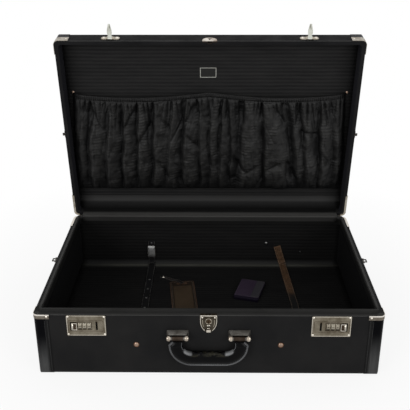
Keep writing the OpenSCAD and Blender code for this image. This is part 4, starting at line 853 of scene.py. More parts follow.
FOLDS = ((-0.268, -0.281, 1.0, 1.1, 0.0065), (-0.229, -0.241, 0.8, 0.9, 0.004), (-0.195, -0.203, 1.1, 1.1, 0.0045),
         (-0.163, -0.166, 0.9, 1.0, 0.004), (-0.124, -0.134, 1.1, 1.1, 0.005), (-0.088, -0.101, 0.7, 0.5, 0.0045),
         (-0.056, -0.066, 1.1, 1.1, 0.005), (-0.026, -0.022, 0.8, 0.9, 0.0045), (0.003, -0.004, 0.7, 0.8, 0.005),
         (0.026, 0.022, 0.9, 0.9, 0.005), (0.044, 0.049, 0.8, 1.0, 0.0045), (0.072, 0.060, 1.4, 1.2, 0.0085),
         (0.119, 0.124, 1.0, 1.1, 0.0038), (0.171, 0.199, 1.4, 1.0, 0.010), (0.203, 0.222, 1.0, 0.8, 0.005),
         (0.246, 0.254, 1.1, 1.0, 0.005), (0.272, 0.282, 0.8, 1.0, 0.008))
SLANTS = ((0.052, 0.38, 0.080, 0.20, 1.0), (0.080, 0.20, 0.108, 0.27, 0.8), (0.124, 0.22, 0.166, 0.32, 0.9),
          (0.140, 0.94, 0.172, 0.70, 0.8), (0.205, 0.66, 0.246, 0.60, 1.3), (0.172, 0.36, 0.196, 0.14, 1.0),
          (-0.190, 0.68, -0.166, 0.90, 0.8), (-0.164, 0.50, -0.130, 0.74, 0.8), (-0.120, 0.36, -0.092, 0.14, 1.0),
          (-0.118, 0.84, -0.090, 0.66, 0.7), (-0.054, 0.70, -0.030, 0.92, 1.0), (-0.052, 0.62, -0.026, 0.46, 0.8),
          (-0.262, 0.86, -0.242, 0.66, 0.8), (0.250, 0.46, 0.272, 0.28, 0.8))


def make_gathers():
    """Short puckers under the elastic: (x, lean, length as a share of the height, depth)."""
    rng = random.Random(3)
    made = []
    x = -POCKET_HALF + 0.003
    while x < POCKET_HALF - 0.003:
        made.append((x, rng.uniform(-0.045, 0.045), rng.uniform(0.10, 0.36), rng.uniform(0.0026, 0.0072)))
        x += rng.uniform(0.0075, 0.0150)
    return made


GATHERS = make_gathers()
LOW_PUCKERS = [(x + 0.004, -lean, 0.5 * tall, 0.7 * deep) for x, lean, tall, deep in GATHERS[::2]]
POCKET_TALL = POCKET_TOP - POCKET_LOW
HEADER = 0.955


def groove(d, steep, gentle):
    """A fold's cross-section, 1 at its bottom: a gentle slope on the left and a steep wall on the right."""
    if d > 0:
        return math.exp(-(d / steep) ** 2) if d < 3 * steep else 0.0
    return max(0.0, 1 + d / gentle) ** 1.7 if d > -gentle else 0.0


def pocket_surface(x, t):
    """Stand-off from the panel at x and at t from the bottom hem (0) to the top edge (1)."""
    side = math.sqrt(max(0.0, min(1.0, (POCKET_HALF - abs(x)) / 0.022)))
    puff = 1 - 0.62 * (1 - t / 0.26) ** 2 if t < 0.26 else 1 - 0.2 * max(0, (t - 0.5) / 0.5) ** 1.6
    down = max(0.0, (HEADER - t) / HEADER)
    cut = 0.0
    for k, (high, low, top_deep, low_deep, wide) in enumerate(FOLDS):
        at = high + (low - high) * down + 0.0055 * soft_noise(down * 3.2, 7.3 * k) + 0.0016 * soft_noise(down * 13, 3.1 * k)
        d = x - at
        if -0.034 < d < 4 * wide:
            deep = (top_deep + (low_deep - top_deep) * down) * (0.86 + 0.3 * soft_noise(down * 4.5, 11.7 * k + 5))
            cut = max(cut, deep * groove(d, wide * (1.15 + 0.7 * soft_noise(down * 3.7, k)), 0.031)) if deep > 0 else cut
    slant = 0.0
    for x0, t0, x1, t1, deep in SLANTS:
        if min(x0, x1) - 0.020 < x < max(x0, x1) + 0.020:
            ax, az = x1 - x0, (t1 - t0) * POCKET_TALL
            long = math.hypot(ax, az)
            px, pz = x - x0, (t - t0) * POCKET_TALL
            along_it = (px * ax + pz * az) / long
            across = (pz * ax - px * az) / long + 0.0034 * soft_noise(along_it * 55, x0 * 90)
            if abs(across) < 0.024:
                ends = max(0.0, min(1.0, along_it / 0.014 + 0.3, (long - along_it) / 0.014 + 0.3))
                slant = max(slant, deep * ends * groove(across, 0.0055, 0.022))
    pucker = 0.0
    for at, lean, tall, deep in GATHERS:
        if down < tall:
            d = x - at - lean * down
            if abs(d) < 0.012:
                pucker = max(pucker, deep * (1 - down / tall) ** 0.7 * groove(d, 0.0022, 0.0085))
    for at, lean, tall, deep in LOW_PUCKERS:
        if t < tall:
            d = x - at - lean * t
            if abs(d) < 0.012:
                pucker = max(pucker, deep * (1 - t / tall) * groove(d, 0.0024, 0.0085))
    wave = 0.0026 * soft_noise(x * 26, t * 5.5, 4) + 0.0010 * soft_noise(x * 90, t * 24, 8)
    tilt = x + 0.10 * (t - 0.5) * soft_noise(x * 9, t * 2, 30)
    crinkle = 0.0020 * max(0.0, 1 - 4 * abs(soft_noise(tilt * 40, t * 2.6, 21))) + 0.0009 * max(
        0.0, 1 - 4 * abs(soft_noise(tilt * 70 + 9, t * 7, 25)))
    fold = 0.0138 * min(1, 0.5 + down * 4) * min(1, 0.35 + t / 0.2)
    body = 0.0215 * puff - fold * cut - 0.0062 * slant * min(1, down / 0.1) - pucker - crinkle + wave
    body = 0.5 * (body + math.sqrt(body * body + 0.000016))
    band = 0.0125 + 0.0006 * math.sin(x * 1250 + 4 * soft_noise(x * 50, 2)) - 0.0022 * math.exp(
        -((t - HEADER) / 0.012) ** 2)
    share = min(1.0, max(0.0, (HEADER + 0.004 - t) / 0.022))
    stand = body * share + band * (1 - share)
    return 0.0007 + max(0.0, stand) * side * min(1, t / 0.018)


def pocket_x(x):
    return 1.012 * x - 0.002


def make_pocket():
    columns, rows = 720, 120

    def point(i, j):
        x = -POCKET_HALF + 2 * POCKET_HALF * i
        t = j
        spread = 1 + 0.036 * min(1, 1.6 * (1 - t))
        u = POCKET_LOW + (pocket_edge(x) - POCKET_LOW) * t
        return Vector((pocket_x(x) * spread, REAR_Y - u, LID_WALL + pocket_surface(x, t)))

    verts, faces = grid(columns, rows, point)
    made = piece("pocket_gathered", verts, faces, "pocket_cloth", "lid", matrix=LID)
    modify(made, "SOLIDIFY", thickness=0.0009, offset=0)
    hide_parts("lid_pocket")

    # the rolled top edge and the elastic's stitching
    top = [LID @ Vector((pocket_x(x), REAR_Y - pocket_edge(x), LID_WALL + pocket_surface(x, 1.0)))
           for x in (-POCKET_HALF + 2 * POCKET_HALF * k / 400 for k in range(401))]
    edge = piece("pocket_edge_roll", *wire(top, 0.0011), "pocket_cloth", "lid")
    row = []
    for k in range(401):
        x = -POCKET_HALF + 0.003 + (2 * POCKET_HALF - 0.006) * k / 400
        u = POCKET_LOW + (pocket_edge(x) - POCKET_LOW) * 0.956
        row.append(LID @ Vector((pocket_x(x), REAR_Y - u, LID_WALL + pocket_surface(x, 0.956) + 0.0007)))
    out = LID.to_3x3() @ Vector((0, 0, 1))
    seam = piece("pocket_stitching", *stitches(row, [out] * len(row), 0.0036, 0.0024, 0.00035), "thread", "lid")


# Flat straps
def swept_strap(name, stations, width, thick, material, body, holes=(), steps=10):
    """A strap with slightly crowned faces along stations (point, facing)."""
    points = line([s[0] for s in stations], steps)
    facings = line([s[1] for s in stations], steps)
    rings = []
    count = len(points)
    for i in range(count):
        way = (points[min(i + 1, count - 1)] - points[max(i - 1, 0)]).normalized()
        face = facings[i].normalized()
        side = way.cross(face).normalized()
        ring = []
        for k in range(16):
            a = 2 * math.pi * k / 16
            c, s = math.cos(a), math.sin(a)
            u = math.copysign(abs(c) ** 0.35, c) * width / 2
            v = math.copysign(abs(s) ** 0.7, s) * thick / 2
            ring.append(points[i] + side * u + face * (v + thick / 2))
        rings.append(ring)
    made = piece(name, *tube(rings), material, body)
    return made, points, facings


def strap_rows(points, facings, width, thick):
    """The two stitched rows along a strap's upper face."""
    rows = []
    for s in (-1, 1):
        path = []
        for i, point in enumerate(points):
            way = (points[min(i + 1, len(points) - 1)] - points[max(i - 1, 0)]).normalized()
            face = facings[i].normalized()
            side = way.cross(face).normalized()
            path.append(point + side * s * (width / 2 - 0.0015) + face * (thick + 0.0001))
        rows.append(stitches(path, facings, 0.0048, 0.0030, 0.0005))
    return together(rows)


def eyelets(name, points, facings, spots, thick, body, radius=0.0018):
    """Small metal rings at the given lengths along a strap."""
    lengths = [0.0]
    for a, b in zip(points, points[1:]):
        lengths.append(lengths[-1] + (b - a).length)
    parts = []
    for want in spots:
        i = next((k for k in range(len(lengths) - 1) if lengths[k] <= want <= lengths[k + 1]), None)
        if i is None:
            continue
        t = (want - lengths[i]) / max(1e-9, lengths[i + 1] - lengths[i])
        centre = points[i].lerp(points[i + 1], t)
        face = facings[i].normalized()
        way = (points[i + 1] - points[i]).normalized()
        side = way.cross(face).normalized()
        circle = [centre + face * (thick + 0.0002) + (side * math.cos(a) + way * math.sin(a)) * radius
                  for a in (2 * math.pi * k / 20 for k in range(20))]
        parts.append(wire(circle, 0.0007, 6, closed=True))
    made = piece(name, *together(parts), "eyelet", body)
    return made


STRAP_LIFT = 0.0017
STRAP_W = 0.0175
STRAP_T = 0.0022
RIVET_X = 0.139
RIVET_Z = 0.070
LEFT_X = -0.145
RIGHT_X = 0.194
RIGHT_FOOT = 0.184
RIGHT_SLOPE = -0.31


def rear_stations(x0, slope, top):
    made = []
    r = BASE_COVE - STRAP_LIFT
    for a in (-75, -45, -15):
        c, s = math.cos(math.radians(a)), math.sin(math.radians(a))
        z = BASE_WALL + BASE_COVE + r * s
        made.append(((x0 + slope * z, INNER_Y - BASE_COVE + r * c, z), (0, -c, -s)))
    for z in (BASE_WALL + BASE_COVE + 0.004, (BASE_WALL + BASE_COVE + 0.004 + top) / 2, top):
        made.append(((x0 + slope * z, INNER_Y - STRAP_LIFT, z), (0, -1, 0)))
    return made


def front_stations(x):
    y = -INNER_Y + STRAP_LIFT
    return [((x, y, RIVET_Z + 0.009), (0, 1, 0)), ((x, y, 0.04), (0, 1, 0)), ((x, y, BASE_WALL + 0.009), (0, 1, 0)),
            ((x, y + 0.0015, BASE_WALL + STRAP_LIFT + 0.002), (0, 1, 1)),
            ((x, y + 0.007, BASE_WALL + STRAP_LIFT), (0, 0, 1))]


def make_straps():
    floor = BASE_WALL + STRAP_LIFT
    up = (0, 0, 1)
    left = front_stations(-RIVET_X) + [((-0.141, -0.12, floor), up), ((LEFT_X, 0, floor), up), ((LEFT_X, 0.12, floor), up)]
    left += rear_stations(LEFT_X, 0, 0.075)
    made, points, facings = swept_strap("left_strap_band", left, STRAP_W, STRAP_T, "black_strap", "base")
    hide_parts("left_strap")
    eyelets("left_strap_eyelets", points, facings, (0.244, 0.285, 0.327, 0.3675, 0.411), STRAP_T, "base")
    seam = piece("left_strap_stitching", *strap_rows(points, facings, STRAP_W, STRAP_T), "strap_thread", "base")
    right = front_stations(RIVET_X) + [((0.168, -0.11, floor), up), ((0.1885, -0.032, floor), up), ((RIGHT_X, 0.003, floor), up),
                                       ((0.1918, 0.05, floor), up), ((0.1886, 0.11, floor), up)]
    right += rear_stations(RIGHT_FOOT - RIGHT_SLOPE * BASE_WALL, RIGHT_SLOPE, 0.061)
    made, points, facings = swept_strap("right_strap_band", right, STRAP_W, STRAP_T, "worn_strap", "base")
    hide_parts("right_strap")
    seam = piece("right_strap_stitching", *strap_rows(points, facings, STRAP_W, STRAP_T), "worn_thread", "base")
    eyelets("right_strap_eyelets", points, facings, (0.225, 0.267), STRAP_T, "base")


def slab(name, outline, low, high, material, body, matrix, crown=0.0, edge=0.0006):
    """A flat piece with rounded edges and an optional crown, from an outline about its middle."""
    rings = []
    inner = max(abs(p[0]) for p in outline)
    for z, shrink in ((low, edge), (low + edge * 0.4, 0.15 * edge), (low + edge, 0), (high - edge, 0),
                      (high - edge * 0.4, 0.15 * edge), (high, edge)):
        rings.append([(x * (1 - shrink / inner), y * (1 - shrink / inner), z) for x, y in outline])
    verts, faces = tube(rings, caps=False)
    count = len(outline)
    last = len(rings) - 1
    for ring, height, lift in ((0, low, 0.0), (last, high, crown)):
        previous = [ring * count + k for k in range(count)]
        for scale, rise in ((0.9, 0.35), (0.7, 0.75), (0.4, 0.95)):
            start = len(verts)
            verts += [(x * scale, y * scale, height + lift * rise) for x, y in outline]
            faces += [(previous[k], previous[(k + 1) % count], start + (k + 1) % count, start + k) for k in range(count)]
            previous = [start + k for k in range(count)]
        faces.append(tuple(previous))
    return piece(name, verts, faces, material, body, matrix=matrix)


def outline_path(outline, z, matrix, inset):
    inner = max(abs(p[0]) for p in outline)
    reach = max(abs(p[1]) for p in outline)
    closed = list(outline) + [outline[0]]
    return [matrix @ Vector((x * (1 - inset / inner), y * (1 - inset / reach), z)) for x, y in closed]


def make_tag():
    floor = BASE_WALL + 0.0003
    place_at = Matrix.Translation((-0.060, 0.057, floor)) @ Matrix.Rotation(math.radians(6), 4, "Z")
    outer = rounded(0.028, 0.065, 0.004)
    border = slab("tag_border", outer, 0.0, 0.0024, "tag_edge", "base", place_at)
    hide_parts("luggage_tag")
    window = rounded(0.0215, 0.052, 0.003)
    centre = slab("tag_panel", window, 0.0020, 0.0030, "tag_leather", "base", place_at @ Matrix.Translation((0, -0.008, 0)))
    up = Vector((0, 0, 1))
    path = outline_path(outer, 0.0024, place_at, 0.003)
    seam = piece("tag_stitching", *stitches(path, [up] * len(path), 0.0034, 0.0022, 0.0004), "tan_thread", "base")
    # the rubbed cut edge and the slot that the strap passes through
    rim = outline_path(outer, 0.0017, place_at, 0.0)
    slot_line = outline_path(rounded(0.012, 0.0022, 0.002), 0.0024, place_at @ Matrix.Translation((0, 0.055, 0)), 0.0)
    rims = piece("tag_rims", *together([wire(rim[:-1], 0.0007, 6, closed=True), wire(slot_line[:-1], 0.0006, 6, closed=True)]),
                 "tan_edge", "base")
    high, low = BASE_WALL + 0.0006 + 0.003, BASE_WALL + 0.0006
    stations = [((-0.065, 0.110, high), up), ((-0.077, 0.122, high), up), ((-0.089, 0.130, low), up),
                ((-0.103, 0.138, low + 0.0006), up), ((-0.117, 0.146, low), up)]
    band, points, facings = swept_strap("tag_strap_band", stations, 0.010, 0.0016, "tag_strap", "base")
    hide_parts("tag_strap")
    edges = piece("tag_strap_edges", *strap_rows(points, facings, 0.0105, 0.0016), "strap_thread", "base")
    stud = rivet("tag_stud", (-0.112, 0.143, low + 0.0018), up, 0.0034, 0.0018, "bright_nickel", "base")


def make_pouch():
    floor = BASE_WALL + 0.0003
    place_at = Matrix.Translation((0.0945, 0.077, floor)) @ Matrix.Rotation(math.radians(-16), 4, "Z")
    outer = rounded(0.0288, 0.0418, 0.003)
    # the body's sides are in the darker copy of the pouch leather, painted shade
    body = slab("pouch_body", outer, 0.0, 0.0086, "pouch_side", "base", place_at, crown=0.0004, edge=0.0014)
    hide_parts("key_pouch")
    lower = slab("pouch_front", rounded(0.0287, 0.0385, 0.003), 0.0084, 0.0094, "pouch_leather", "base",
                 place_at @ Matrix.Translation((0, 0.0024, 0)), crown=0.0003)
    flap = slab("pouch_flap", rounded(0.0095, 0.0375, 0.002), 0.0094, 0.0101, "pouch_pale", "base",
                place_at @ Matrix.Translation((0.0188, 0.0024, 0)))
    up = Vector((0, 0, 1))
    seam_line = outline_path(rounded(0.0287, 0.0385, 0.003), 0.0098, place_at @ Matrix.Translation((0, 0.0024, 0)), 0.0022)
    seam = piece("pouch_stitching", *stitches(seam_line, [up] * len(seam_line), 0.003, 0.002, 0.0003), "pale_thread", "base")


def rivet(name, at, normal, radius, height, material, body):
    """A domed head with a thin flat rim."""
    rings = []
    for t in range(7):
        a = math.pi / 2 * t / 6
        rings.append((radius * (0.86 * math.cos(a) + (0.14 if t == 0 else 0.0)), height * (0.12 + 0.88 * math.sin(a))))
    rings.insert(0, (radius, 0.0))
    turn = Vector(normal).to_track_quat("Z", "Y").to_matrix().to_4x4()
    matrix = Matrix.Translation(at) @ turn
    ring_points = [[(max(r, radius * 0.03) * math.cos(a), max(r, radius * 0.03) * math.sin(a), z)
                    for a in (2 * math.pi * k / 24 for k in range(24))] for r, z in rings]
    return piece(name, *tube(ring_points), material, body, matrix=matrix)


# The handle: padded leather over its core, with finger waves along the inner edge
HANDLE_X = 0.059
PIN_Z = 0.091
PIN_OUT = 0.0095
GRIP_DROP = 0.0444
GRIP_TALL = 0.028
GRIP_DEEP = 0.017
GRIP_TOP = 0.006
GRIP_BEND = 0.030


def handle_line():
    """(x, z, direction, half height, wave) from the right pin round to the left one."""
    bottom = PIN_Z - GRIP_DROP
    mid_x = HANDLE_X + 0.004
    bend_x, bend_z = mid_x - GRIP_BEND, bottom + GRIP_BEND
    start = PIN_Z - GRIP_TOP
    half = []
    for i in range(13):
        t = i / 12
        s = t * t * (3 - 2 * t)
        half.append((HANDLE_X + (mid_x - HANDLE_X) * s, start + (bend_z - start) * t, 270,
                     0.008 + (GRIP_TALL / 2 - 0.0095) * t, 0))
    for i in range(1, 33):
        a = -90 * i / 32
        half.append((bend_x + GRIP_BEND * math.cos(math.radians(a)), bend_z + GRIP_BEND * math.sin(math.radians(a)),
                     270 + a, 0.008 + (GRIP_TALL / 2 - 0.008) * (0.6 + 0.4 * i / 32), 0))
    bar = []
    for i in range(1, 96):
        x = bend_x - 2 * bend_x * i / 96
        fade = min(1, min(i, 96 - i) / 10)
        bar.append((x, bottom, 180, GRIP_TALL / 2, fade * math.cos(2 * math.pi * x / 0.015)))
    return half + bar + [(-x, z, 360 - d, h, w) for x, z, d, h, w in reversed(half)]


def make_handle():
    sides = 32
    rings, outer, inner = [], [], []
    for x, z, d, h, wave in handle_line():
        a = math.radians(d + 90)
        deep = h * GRIP_DEEP / GRIP_TALL
        ring = []
        for k in range(sides):
            t = 2 * math.pi * k / sides
            c, s = math.cos(t), math.sin(t)
            u = math.copysign(abs(c) ** 0.92, c) * (h + (0.0013 * wave if c < 0 else 0))
            v = math.copysign(abs(s) ** 0.92, s) * deep
            ring.append((x + u * math.cos(a), FRONT_Y - PIN_OUT + v, z + u * math.sin(a)))
        rings.append(ring)
        outer.append(Vector(ring[0]))
        inner.append(Vector(ring[sides // 2]))
    made = piece("handle_leather_grip", *tube(rings), "handle_leather", "handle")
    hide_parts("handle_grip")
    # the glued seam and its stitching, just in front of the outer edge
    seam_path, normals = [], []
    for ring in rings[3:-3]:
        seam_path.append(Vector(ring[sides - 3]) + Vector((0, -0.0002, 0)))
        middle = sum((Vector(p) for p in ring), Vector()) / sides
        normals.append(Vector(ring[sides - 3]) - middle)
    seam = piece("handle_stitching", *stitches(seam_path, normals, 0.0034, 0.0023, 0.00035), "thread", "handle")
    # the edge welts, outside and inside of the two legs, whose pale leather is a painted highlight
    runs = []
    for ring in (rings[2:-2],):
        runs.append(wire([Vector(r[sides - 2]) for r in ring], 0.0023))
    for part in (rings[2:28], rings[-28:-2]):
        runs.append(wire([Vector(r[sides // 2 + 2]) for r in part], 0.0008))
    welt = piece("handle_welt", *together(runs), "handle_edge", "handle")
    # leather collars at the two ends
    for name, s in (("handle_collar_left", -1), ("handle_collar_right", 1)):
        path = [(s * HANDLE_X + 0.0087 * math.cos(a), FRONT_Y - PIN_OUT + 0.0055 * math.sin(a), PIN_Z - GRIP_TOP - 0.0016)
                for a in (2 * math.pi * k / 40 for k in range(40))]
        collar = piece(name, *wire(path, 0.0009, 8, closed=True), "handle_leather", "handle")


# Small things on the front wall
FACE_T = 0.0012
FIRST_DIAL = -0.0117
DIAL_PITCH = 0.0088
DIAL_R = 0.009
DIAL_Y = 0.0056
DIAL_Z = -0.0006


def lock_frames():
    """The raised edge and inner panel line of each lock plate, and the raised rim round each slide button."""
    for side, word in ((-1, "left"), (1, "right")):
        def spot(lx, lz, out=0.0001):
            return (side * LOCK_X - side * lx, FRONT_Y - FACE_T - out, LOCK_Z + lz)

        edge = [spot(x, z, -0.0006) for x, z in rounded(0.0364, 0.0214, 0.0016)]
        made = piece(f"{word}_lock_edge", *wire(edge, 0.0008, 8, closed=True), "bright_nickel", "base")
        panel = [spot(x - 0.001, z + DIAL_Z, -0.0004) for x, z in rounded(0.0335, 0.0118, 0.0015)]
        window = [spot(x - 0.0029, z + DIAL_Z) for x, z in rounded(0.0135, 0.0088, 0.0008)]
        made = piece(f"{word}_lock_panel_line", *together([wire(panel, 0.0006, 8, closed=True),
                                                          wire(window, 0.00055, 6, closed=True)]), "brown_metal", "base")
        button = [spot(x - 0.0229, z - 0.0015, 0.0015) for x, z in rounded(0.0046, 0.0070, 0.0008)]
        bar = [spot(-0.0258, z, 0.0016) for z in (-0.0078, -0.0015, 0.0048)]
        made = piece(f"{word}_button_rim", *together([wire(button, 0.0008, 6, closed=True), wire(bar, 0.0013)]),
                     "bright_nickel", f"{word}_lock_button")


def shield_half(down):
    """Half of the shield's width at a distance below its top."""
    foot, tall, shoulder, half = 0.012, 0.036, 0.014, 0.0163
    bulge = half - foot / 2
    drop = tall - shoulder
    r = (drop * drop + bulge * bulge) / (2 * bulge)
    return half if down < shoulder else half - r + math.sqrt(r * r - (down - shoulder) ** 2)


def shield_trim():
    """The shield's bright edges, its curved side lines, the ring round the barrel and the slide's bars."""
    y = FRONT_Y - FACE_T - 0.0002
    bright, dull = [], []
    for s in (-1, 1):
        bright.append(wire([(s * (shield_half(d) - 0.0009), y + 0.0009, BASE_H - d) for d in
                            (0.001 + 0.034 * k / 24 for k in range(25))], 0.0009, 8))
        dull.append(wire([(s * (shield_half(d) - 0.0048), y + 0.0008, BASE_H - d) for d in
                          (0.0095 + 0.016 * k / 20 for k in range(21))], 0.0008, 8))
    bright.append(wire([(-0.0160 + 0.032 * k / 8, y - 0.0002, BASE_H - 0.0009) for k in range(9)], 0.0010))
    ring = [(0.0057 * math.cos(a), y + 0.0002, BASE_H - 0.0134 + 0.0057 * math.sin(a))
            for a in (2 * math.pi * k / 32 for k in range(32))]
    dull.append(wire(ring, 0.0007, 8, closed=True))
    for down, half in ((0.0225, 0.0034), (0.0285, 0.0026)):
        bright.append(wire([(x, y - 0.0004, BASE_H - down) for x in (-half, 0, half)], 0.0009))
    made = piece("shield_edges", *together(bright), "bright_nickel", "base")
    made = piece("shield_lines", *together(dull), "nickel", "base")


def rim_piping():
    """The rolled leather edge along the outer rim of the base and of the lid, in paler leather that is a painted
    highlight.
    """
    leg = 0.0285
    for name, height, matrix, body in (("base_rim_piping", BASE_H, None, "base"), ("lid_rim_piping", LID_H, LID, "lid")):
        z = height - 0.0009
        runs = [wire([(-SIDE_X + leg + (2 * SIDE_X - 2 * leg) * k / 40, FRONT_Y + 0.0004, z) for k in range(41)], 0.0008)]
        for s in (-1, 1):
            x = s * (SIDE_X - 0.0004)
            runs.append(wire([(x, FRONT_Y + leg + (CASE_D - leg - 0.056) * k / 40, z) for k in range(41)], 0.0008))
        made = piece(name, *together(runs), "lid_piping" if matrix else "piping", body, matrix=matrix)


def buckle_face():
    """The buckle's domed front."""
    outline = rounded(0.0088, 0.0146, 0.0012)
    at = Matrix.Translation((LEFT_X - 0.0006, INNER_Y - 0.0055, 0.0475)) @ Matrix.Rotation(math.radians(90), 4, "X")
    made = slab("buckle_face", outline, 0.0, 0.0007, "buckle", "base", at, crown=0.0022)


def dial_figures():
    """Plain figures 0 to 9 round each dial."""
    for side, word in ((-1, "left"), (1, "right")):
        for number in range(3):
            lx = FIRST_DIAL + DIAL_PITCH * number
            centre = Vector((side * LOCK_X - side * lx, FRONT_Y + DIAL_Y, LOCK_Z + DIAL_Z))
            parts = []
            for digit in range(10):
                curve = bpy.data.curves.new("figure", "FONT")
                curve.body = str(digit)
                curve.size = 0.0044
                curve.extrude = 0.00007
                curve.align_x = "CENTER"
                curve.align_y = "CENTER"
                flat = bpy.data.objects.new("figure", curve)
                mesh = bpy.data.meshes.new_from_object(flat)
                turn = Matrix.Rotation(math.radians(36 * digit), 4, "X")
                face = Matrix.Translation((0, -DIAL_R, 0)) @ Matrix.Rotation(math.radians(90), 4, "X")
                mesh.transform(Matrix.Translation(centre) @ turn @ face)
                parts.append(([v.co.copy() for v in mesh.vertices], [tuple(p.vertices) for p in mesh.polygons]))
                bpy.data.objects.remove(flat)
                bpy.data.meshes.remove(mesh)
                bpy.data.curves.remove(curve)
            body = f"{word}_dial_{number + 1}"
            made = piece(f"{body}_figures", *together(parts), "figures", body, smooth=False)


def rivet_rings():
    """A dark copper ring round each strap rivet's head, standing for the shade round it: painted shade."""
    for name, x in (("left_rivet_ring", -RIVET_X), ("right_rivet_ring", RIVET_X)):
        path = [(x + 0.0048 * math.cos(a), FRONT_Y - 0.0003, RIVET_Z + 0.0048 * math.sin(a))
                for a in (2 * math.pi * k / 32 for k in range(32))]
        made = piece(name, *wire(path, 0.0007, 8, closed=True), "copper_ring", "base")


def label_border():
    place_at = LID @ Matrix.Translation((-0.0035, REAR_Y - 0.3575, LID_WALL + 0.0009))
    outline = rounded(0.0175, 0.0110, 0.0008)
    made = piece("label_border", *wire([place_at @ Vector((x, y, 0.0001)) for x, y in outline], 0.0008, 6, closed=True),
                 "label_edge", "lid")


def cover_seams():
    """Stitched edges of the leather corner covers on the base and the lid."""
    out = 0.001
    leg = 0.028 - 0.0022
    base_rows, lid_rows = [], []
    for sx in (-1, 1):
        for sy in (-1, 1):
            x, y = sx * (SIDE_X - leg), sy * (REAR_Y + out)
            base_rows.append(stitches([(x, y, 0.007), (x, y, BASE_H - 0.012)], [(0, sy, 0)], 0.0036, 0.0024, 0.0004))
            lid_rows.append(stitches([(x, y, 0.007), (x, y, LID_H - 0.021)], [(0, sy, 0)], 0.0036, 0.0024, 0.0004))
            x, y = sx * (SIDE_X + out), sy * (REAR_Y - leg)
            base_rows.append(stitches([(x, y, 0.007), (x, y, BASE_H - 0.012)], [(sx, 0, 0)], 0.0036, 0.0024, 0.0004))
            lid_rows.append(stitches([(x, y, 0.007), (x, y, LID_H - 0.021)], [(sx, 0, 0)], 0.0036, 0.0024, 0.0004))
    made = piece("base_cover_stitching", *together(base_rows), "thread", "base")
    creases = []
    for sx in (-1, 1):
        for sy in (-1, 1):
            x, y = sx * (SIDE_X - COVER_LINE), sy * (REAR_Y + out)
            creases.append(wire([(x, y, 0.0065), (x, y, 0.06), (x, y, BASE_H - 0.013)], 0.0006))
            x, y = sx * (SIDE_X + out), sy * (REAR_Y - COVER_LINE)
            creases.append(wire([(x, y, 0.0065), (x, y, 0.06), (x, y, BASE_H - 0.013)], 0.0006))
    made = piece("base_cover_creases", *together(creases), "dark", "base")
    made = piece("lid_cover_stitching", *together(lid_rows), "thread", "lid", matrix=LID)


def hinge_strip():
    """The soft strip from the base's rear lip to the lid's rear wall."""
    lip_in = INNER_Y - 0.0045
    gap, thick = 0.0004, 0.0008
    half = SIDE_X - BASE_WALL - INNER_R - 0.006
    lid_rear = -0.0032 - LID_WALL
    c, s = math.cos(LID_OPEN), math.sin(LID_OPEN)

    def lid_point(y, z):
        return (HINGE.y + y * c + z * s, HINGE.z - y * s + z * c)

    top = BASE_H + 0.007 + gap
    points = [(lip_in - gap, BASE_H - 0.006), (lip_in - gap, BASE_H + 0.003), (lip_in - gap * 0.8, top - 0.0004),
              (lip_in + 0.0022, top + 0.0004), lid_point(lid_rear - gap, -0.0006), lid_point(lid_rear - gap, 0.004),
              lid_point(lid_rear - gap, 0.013)]
    profile = line([(0, y, z) for y, z in points], 8)
    verts, faces = grid(60, len(profile) - 1, lambda i, j: (-half + 2 * half * i, *profile[round(j * (len(profile) - 1))][1:]))
    made = piece("hinge_strip", verts, faces, "hinge_cloth", None)
    modify(made, "SOLIDIFY", thickness=thick, offset=1)
    settle(made)
    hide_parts("hinge_cover")
    length = sum((b - a).length for a, b in zip(profile, profile[1:]))
    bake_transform(made)


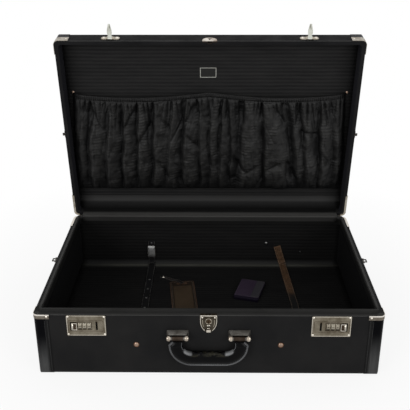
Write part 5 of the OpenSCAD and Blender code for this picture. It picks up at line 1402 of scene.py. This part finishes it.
# Floor and light
def stage():
    floor_mesh = bpy.data.meshes.new("floor")
    reach = 6.0
    floor_mesh.from_pydata([(-reach, -reach, 0), (reach, -reach, 0), (reach, reach, 0), (-reach, reach, 0)], [], [(0, 1, 2, 3)])
    floor = bpy.data.objects.new("floor", floor_mesh)
    floor.location.z = -0.0003
    bpy.context.scene.collection.objects.link(floor)
    made, net, shader = tree("floor_white")
    shader.inputs["Base Color"].default_value = (0.9, 0.9, 0.9, 1)
    shader.inputs["Roughness"].default_value = 0.9
    shader.inputs["Specular IOR Level"].default_value = 0.0
    glow = add(net, "ShaderNodeEmission", {"Color": (1, 1, 1, 1), "Strength": 1.0})
    path = add(net, "ShaderNodeLightPath")
    seen = maths(net, "MAXIMUM", path.outputs["Is Camera Ray"],
                 maths(net, "MAXIMUM", path.outputs["Is Glossy Ray"], path.outputs["Is Transmission Ray"]))
    away = add(net, "ShaderNodeVectorMath", {0: place(net)}, operation="LENGTH").outputs["Value"]
    share = maths(net, "MULTIPLY", seen, span(net, away, 0.35, 0.9, 0.86, 1.0))
    both = add(net, "ShaderNodeMixShader", {"Fac": share})
    net.links.new(shader.outputs[0], both.inputs[1])
    net.links.new(glow.outputs[0], both.inputs[2])
    net.links.new(both.outputs[0], net.nodes["Material Output"].inputs["Surface"])
    floor_mesh.materials.append(made)

    world = bpy.data.worlds.new("studio")
    bpy.context.scene.world = world
    world.use_nodes = True
    net = world.node_tree
    back = net.nodes["Background"]
    path = add(net, "ShaderNodeLightPath")
    seen = maths(net, "MAXIMUM", path.outputs["Is Camera Ray"],
                 maths(net, "MAXIMUM", path.outputs["Is Glossy Ray"], path.outputs["Is Transmission Ray"]))
    net.links.new(span(net, seen, 0, 1, 0.42, 1.0), back.inputs["Strength"])
    back.inputs["Color"].default_value = (1, 1, 1, 1)

    for name, at, aim, size, power in (
            ("key", (-2.0, -2.4, 1.25), (0, 0, 0.25), 1.5, 44),
            ("fill", (2.1, -2.3, 1.15), (0, 0, 0.25), 1.5, 34),
            ("top", (0.0, 0.5, 2.9), (0, 0.1, 0.1), 1.6, 9)):
        lamp = bpy.data.lights.new(name, "AREA")
        lamp.size = size
        lamp.energy = power
        made = bpy.data.objects.new(name, lamp)
        made.location = at
        made.rotation_euler = (Vector(aim) - Vector(at)).to_track_quat("-Z", "Y").to_euler()
        bpy.context.scene.collection.objects.link(made)


make_camera()
base_lining()
lid_lining()
make_pocket()
make_straps()
make_tag()
make_pouch()
make_handle()
lock_frames()
dial_figures()
shield_trim()
rim_piping()
buckle_face()
rivet_rings()
label_border()
cover_seams()
hinge_strip()

tab_at = Matrix.Translation((0.141, INNER_Y, 0.069)) @ Matrix.Rotation(math.radians(14), 4, "Y") @ Matrix.Rotation(
    math.radians(90), 4, "X")
tab = slab("strap_tab", [(x + 0.005, y) for x, y in rounded(0.013, 0.0065, 0.003)], 0.0002, 0.0016, "black_strap",
           "base", tab_at)
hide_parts("right_strap_tab")

stage()
bpy.context.scene.view_settings.view_transform = "Standard"
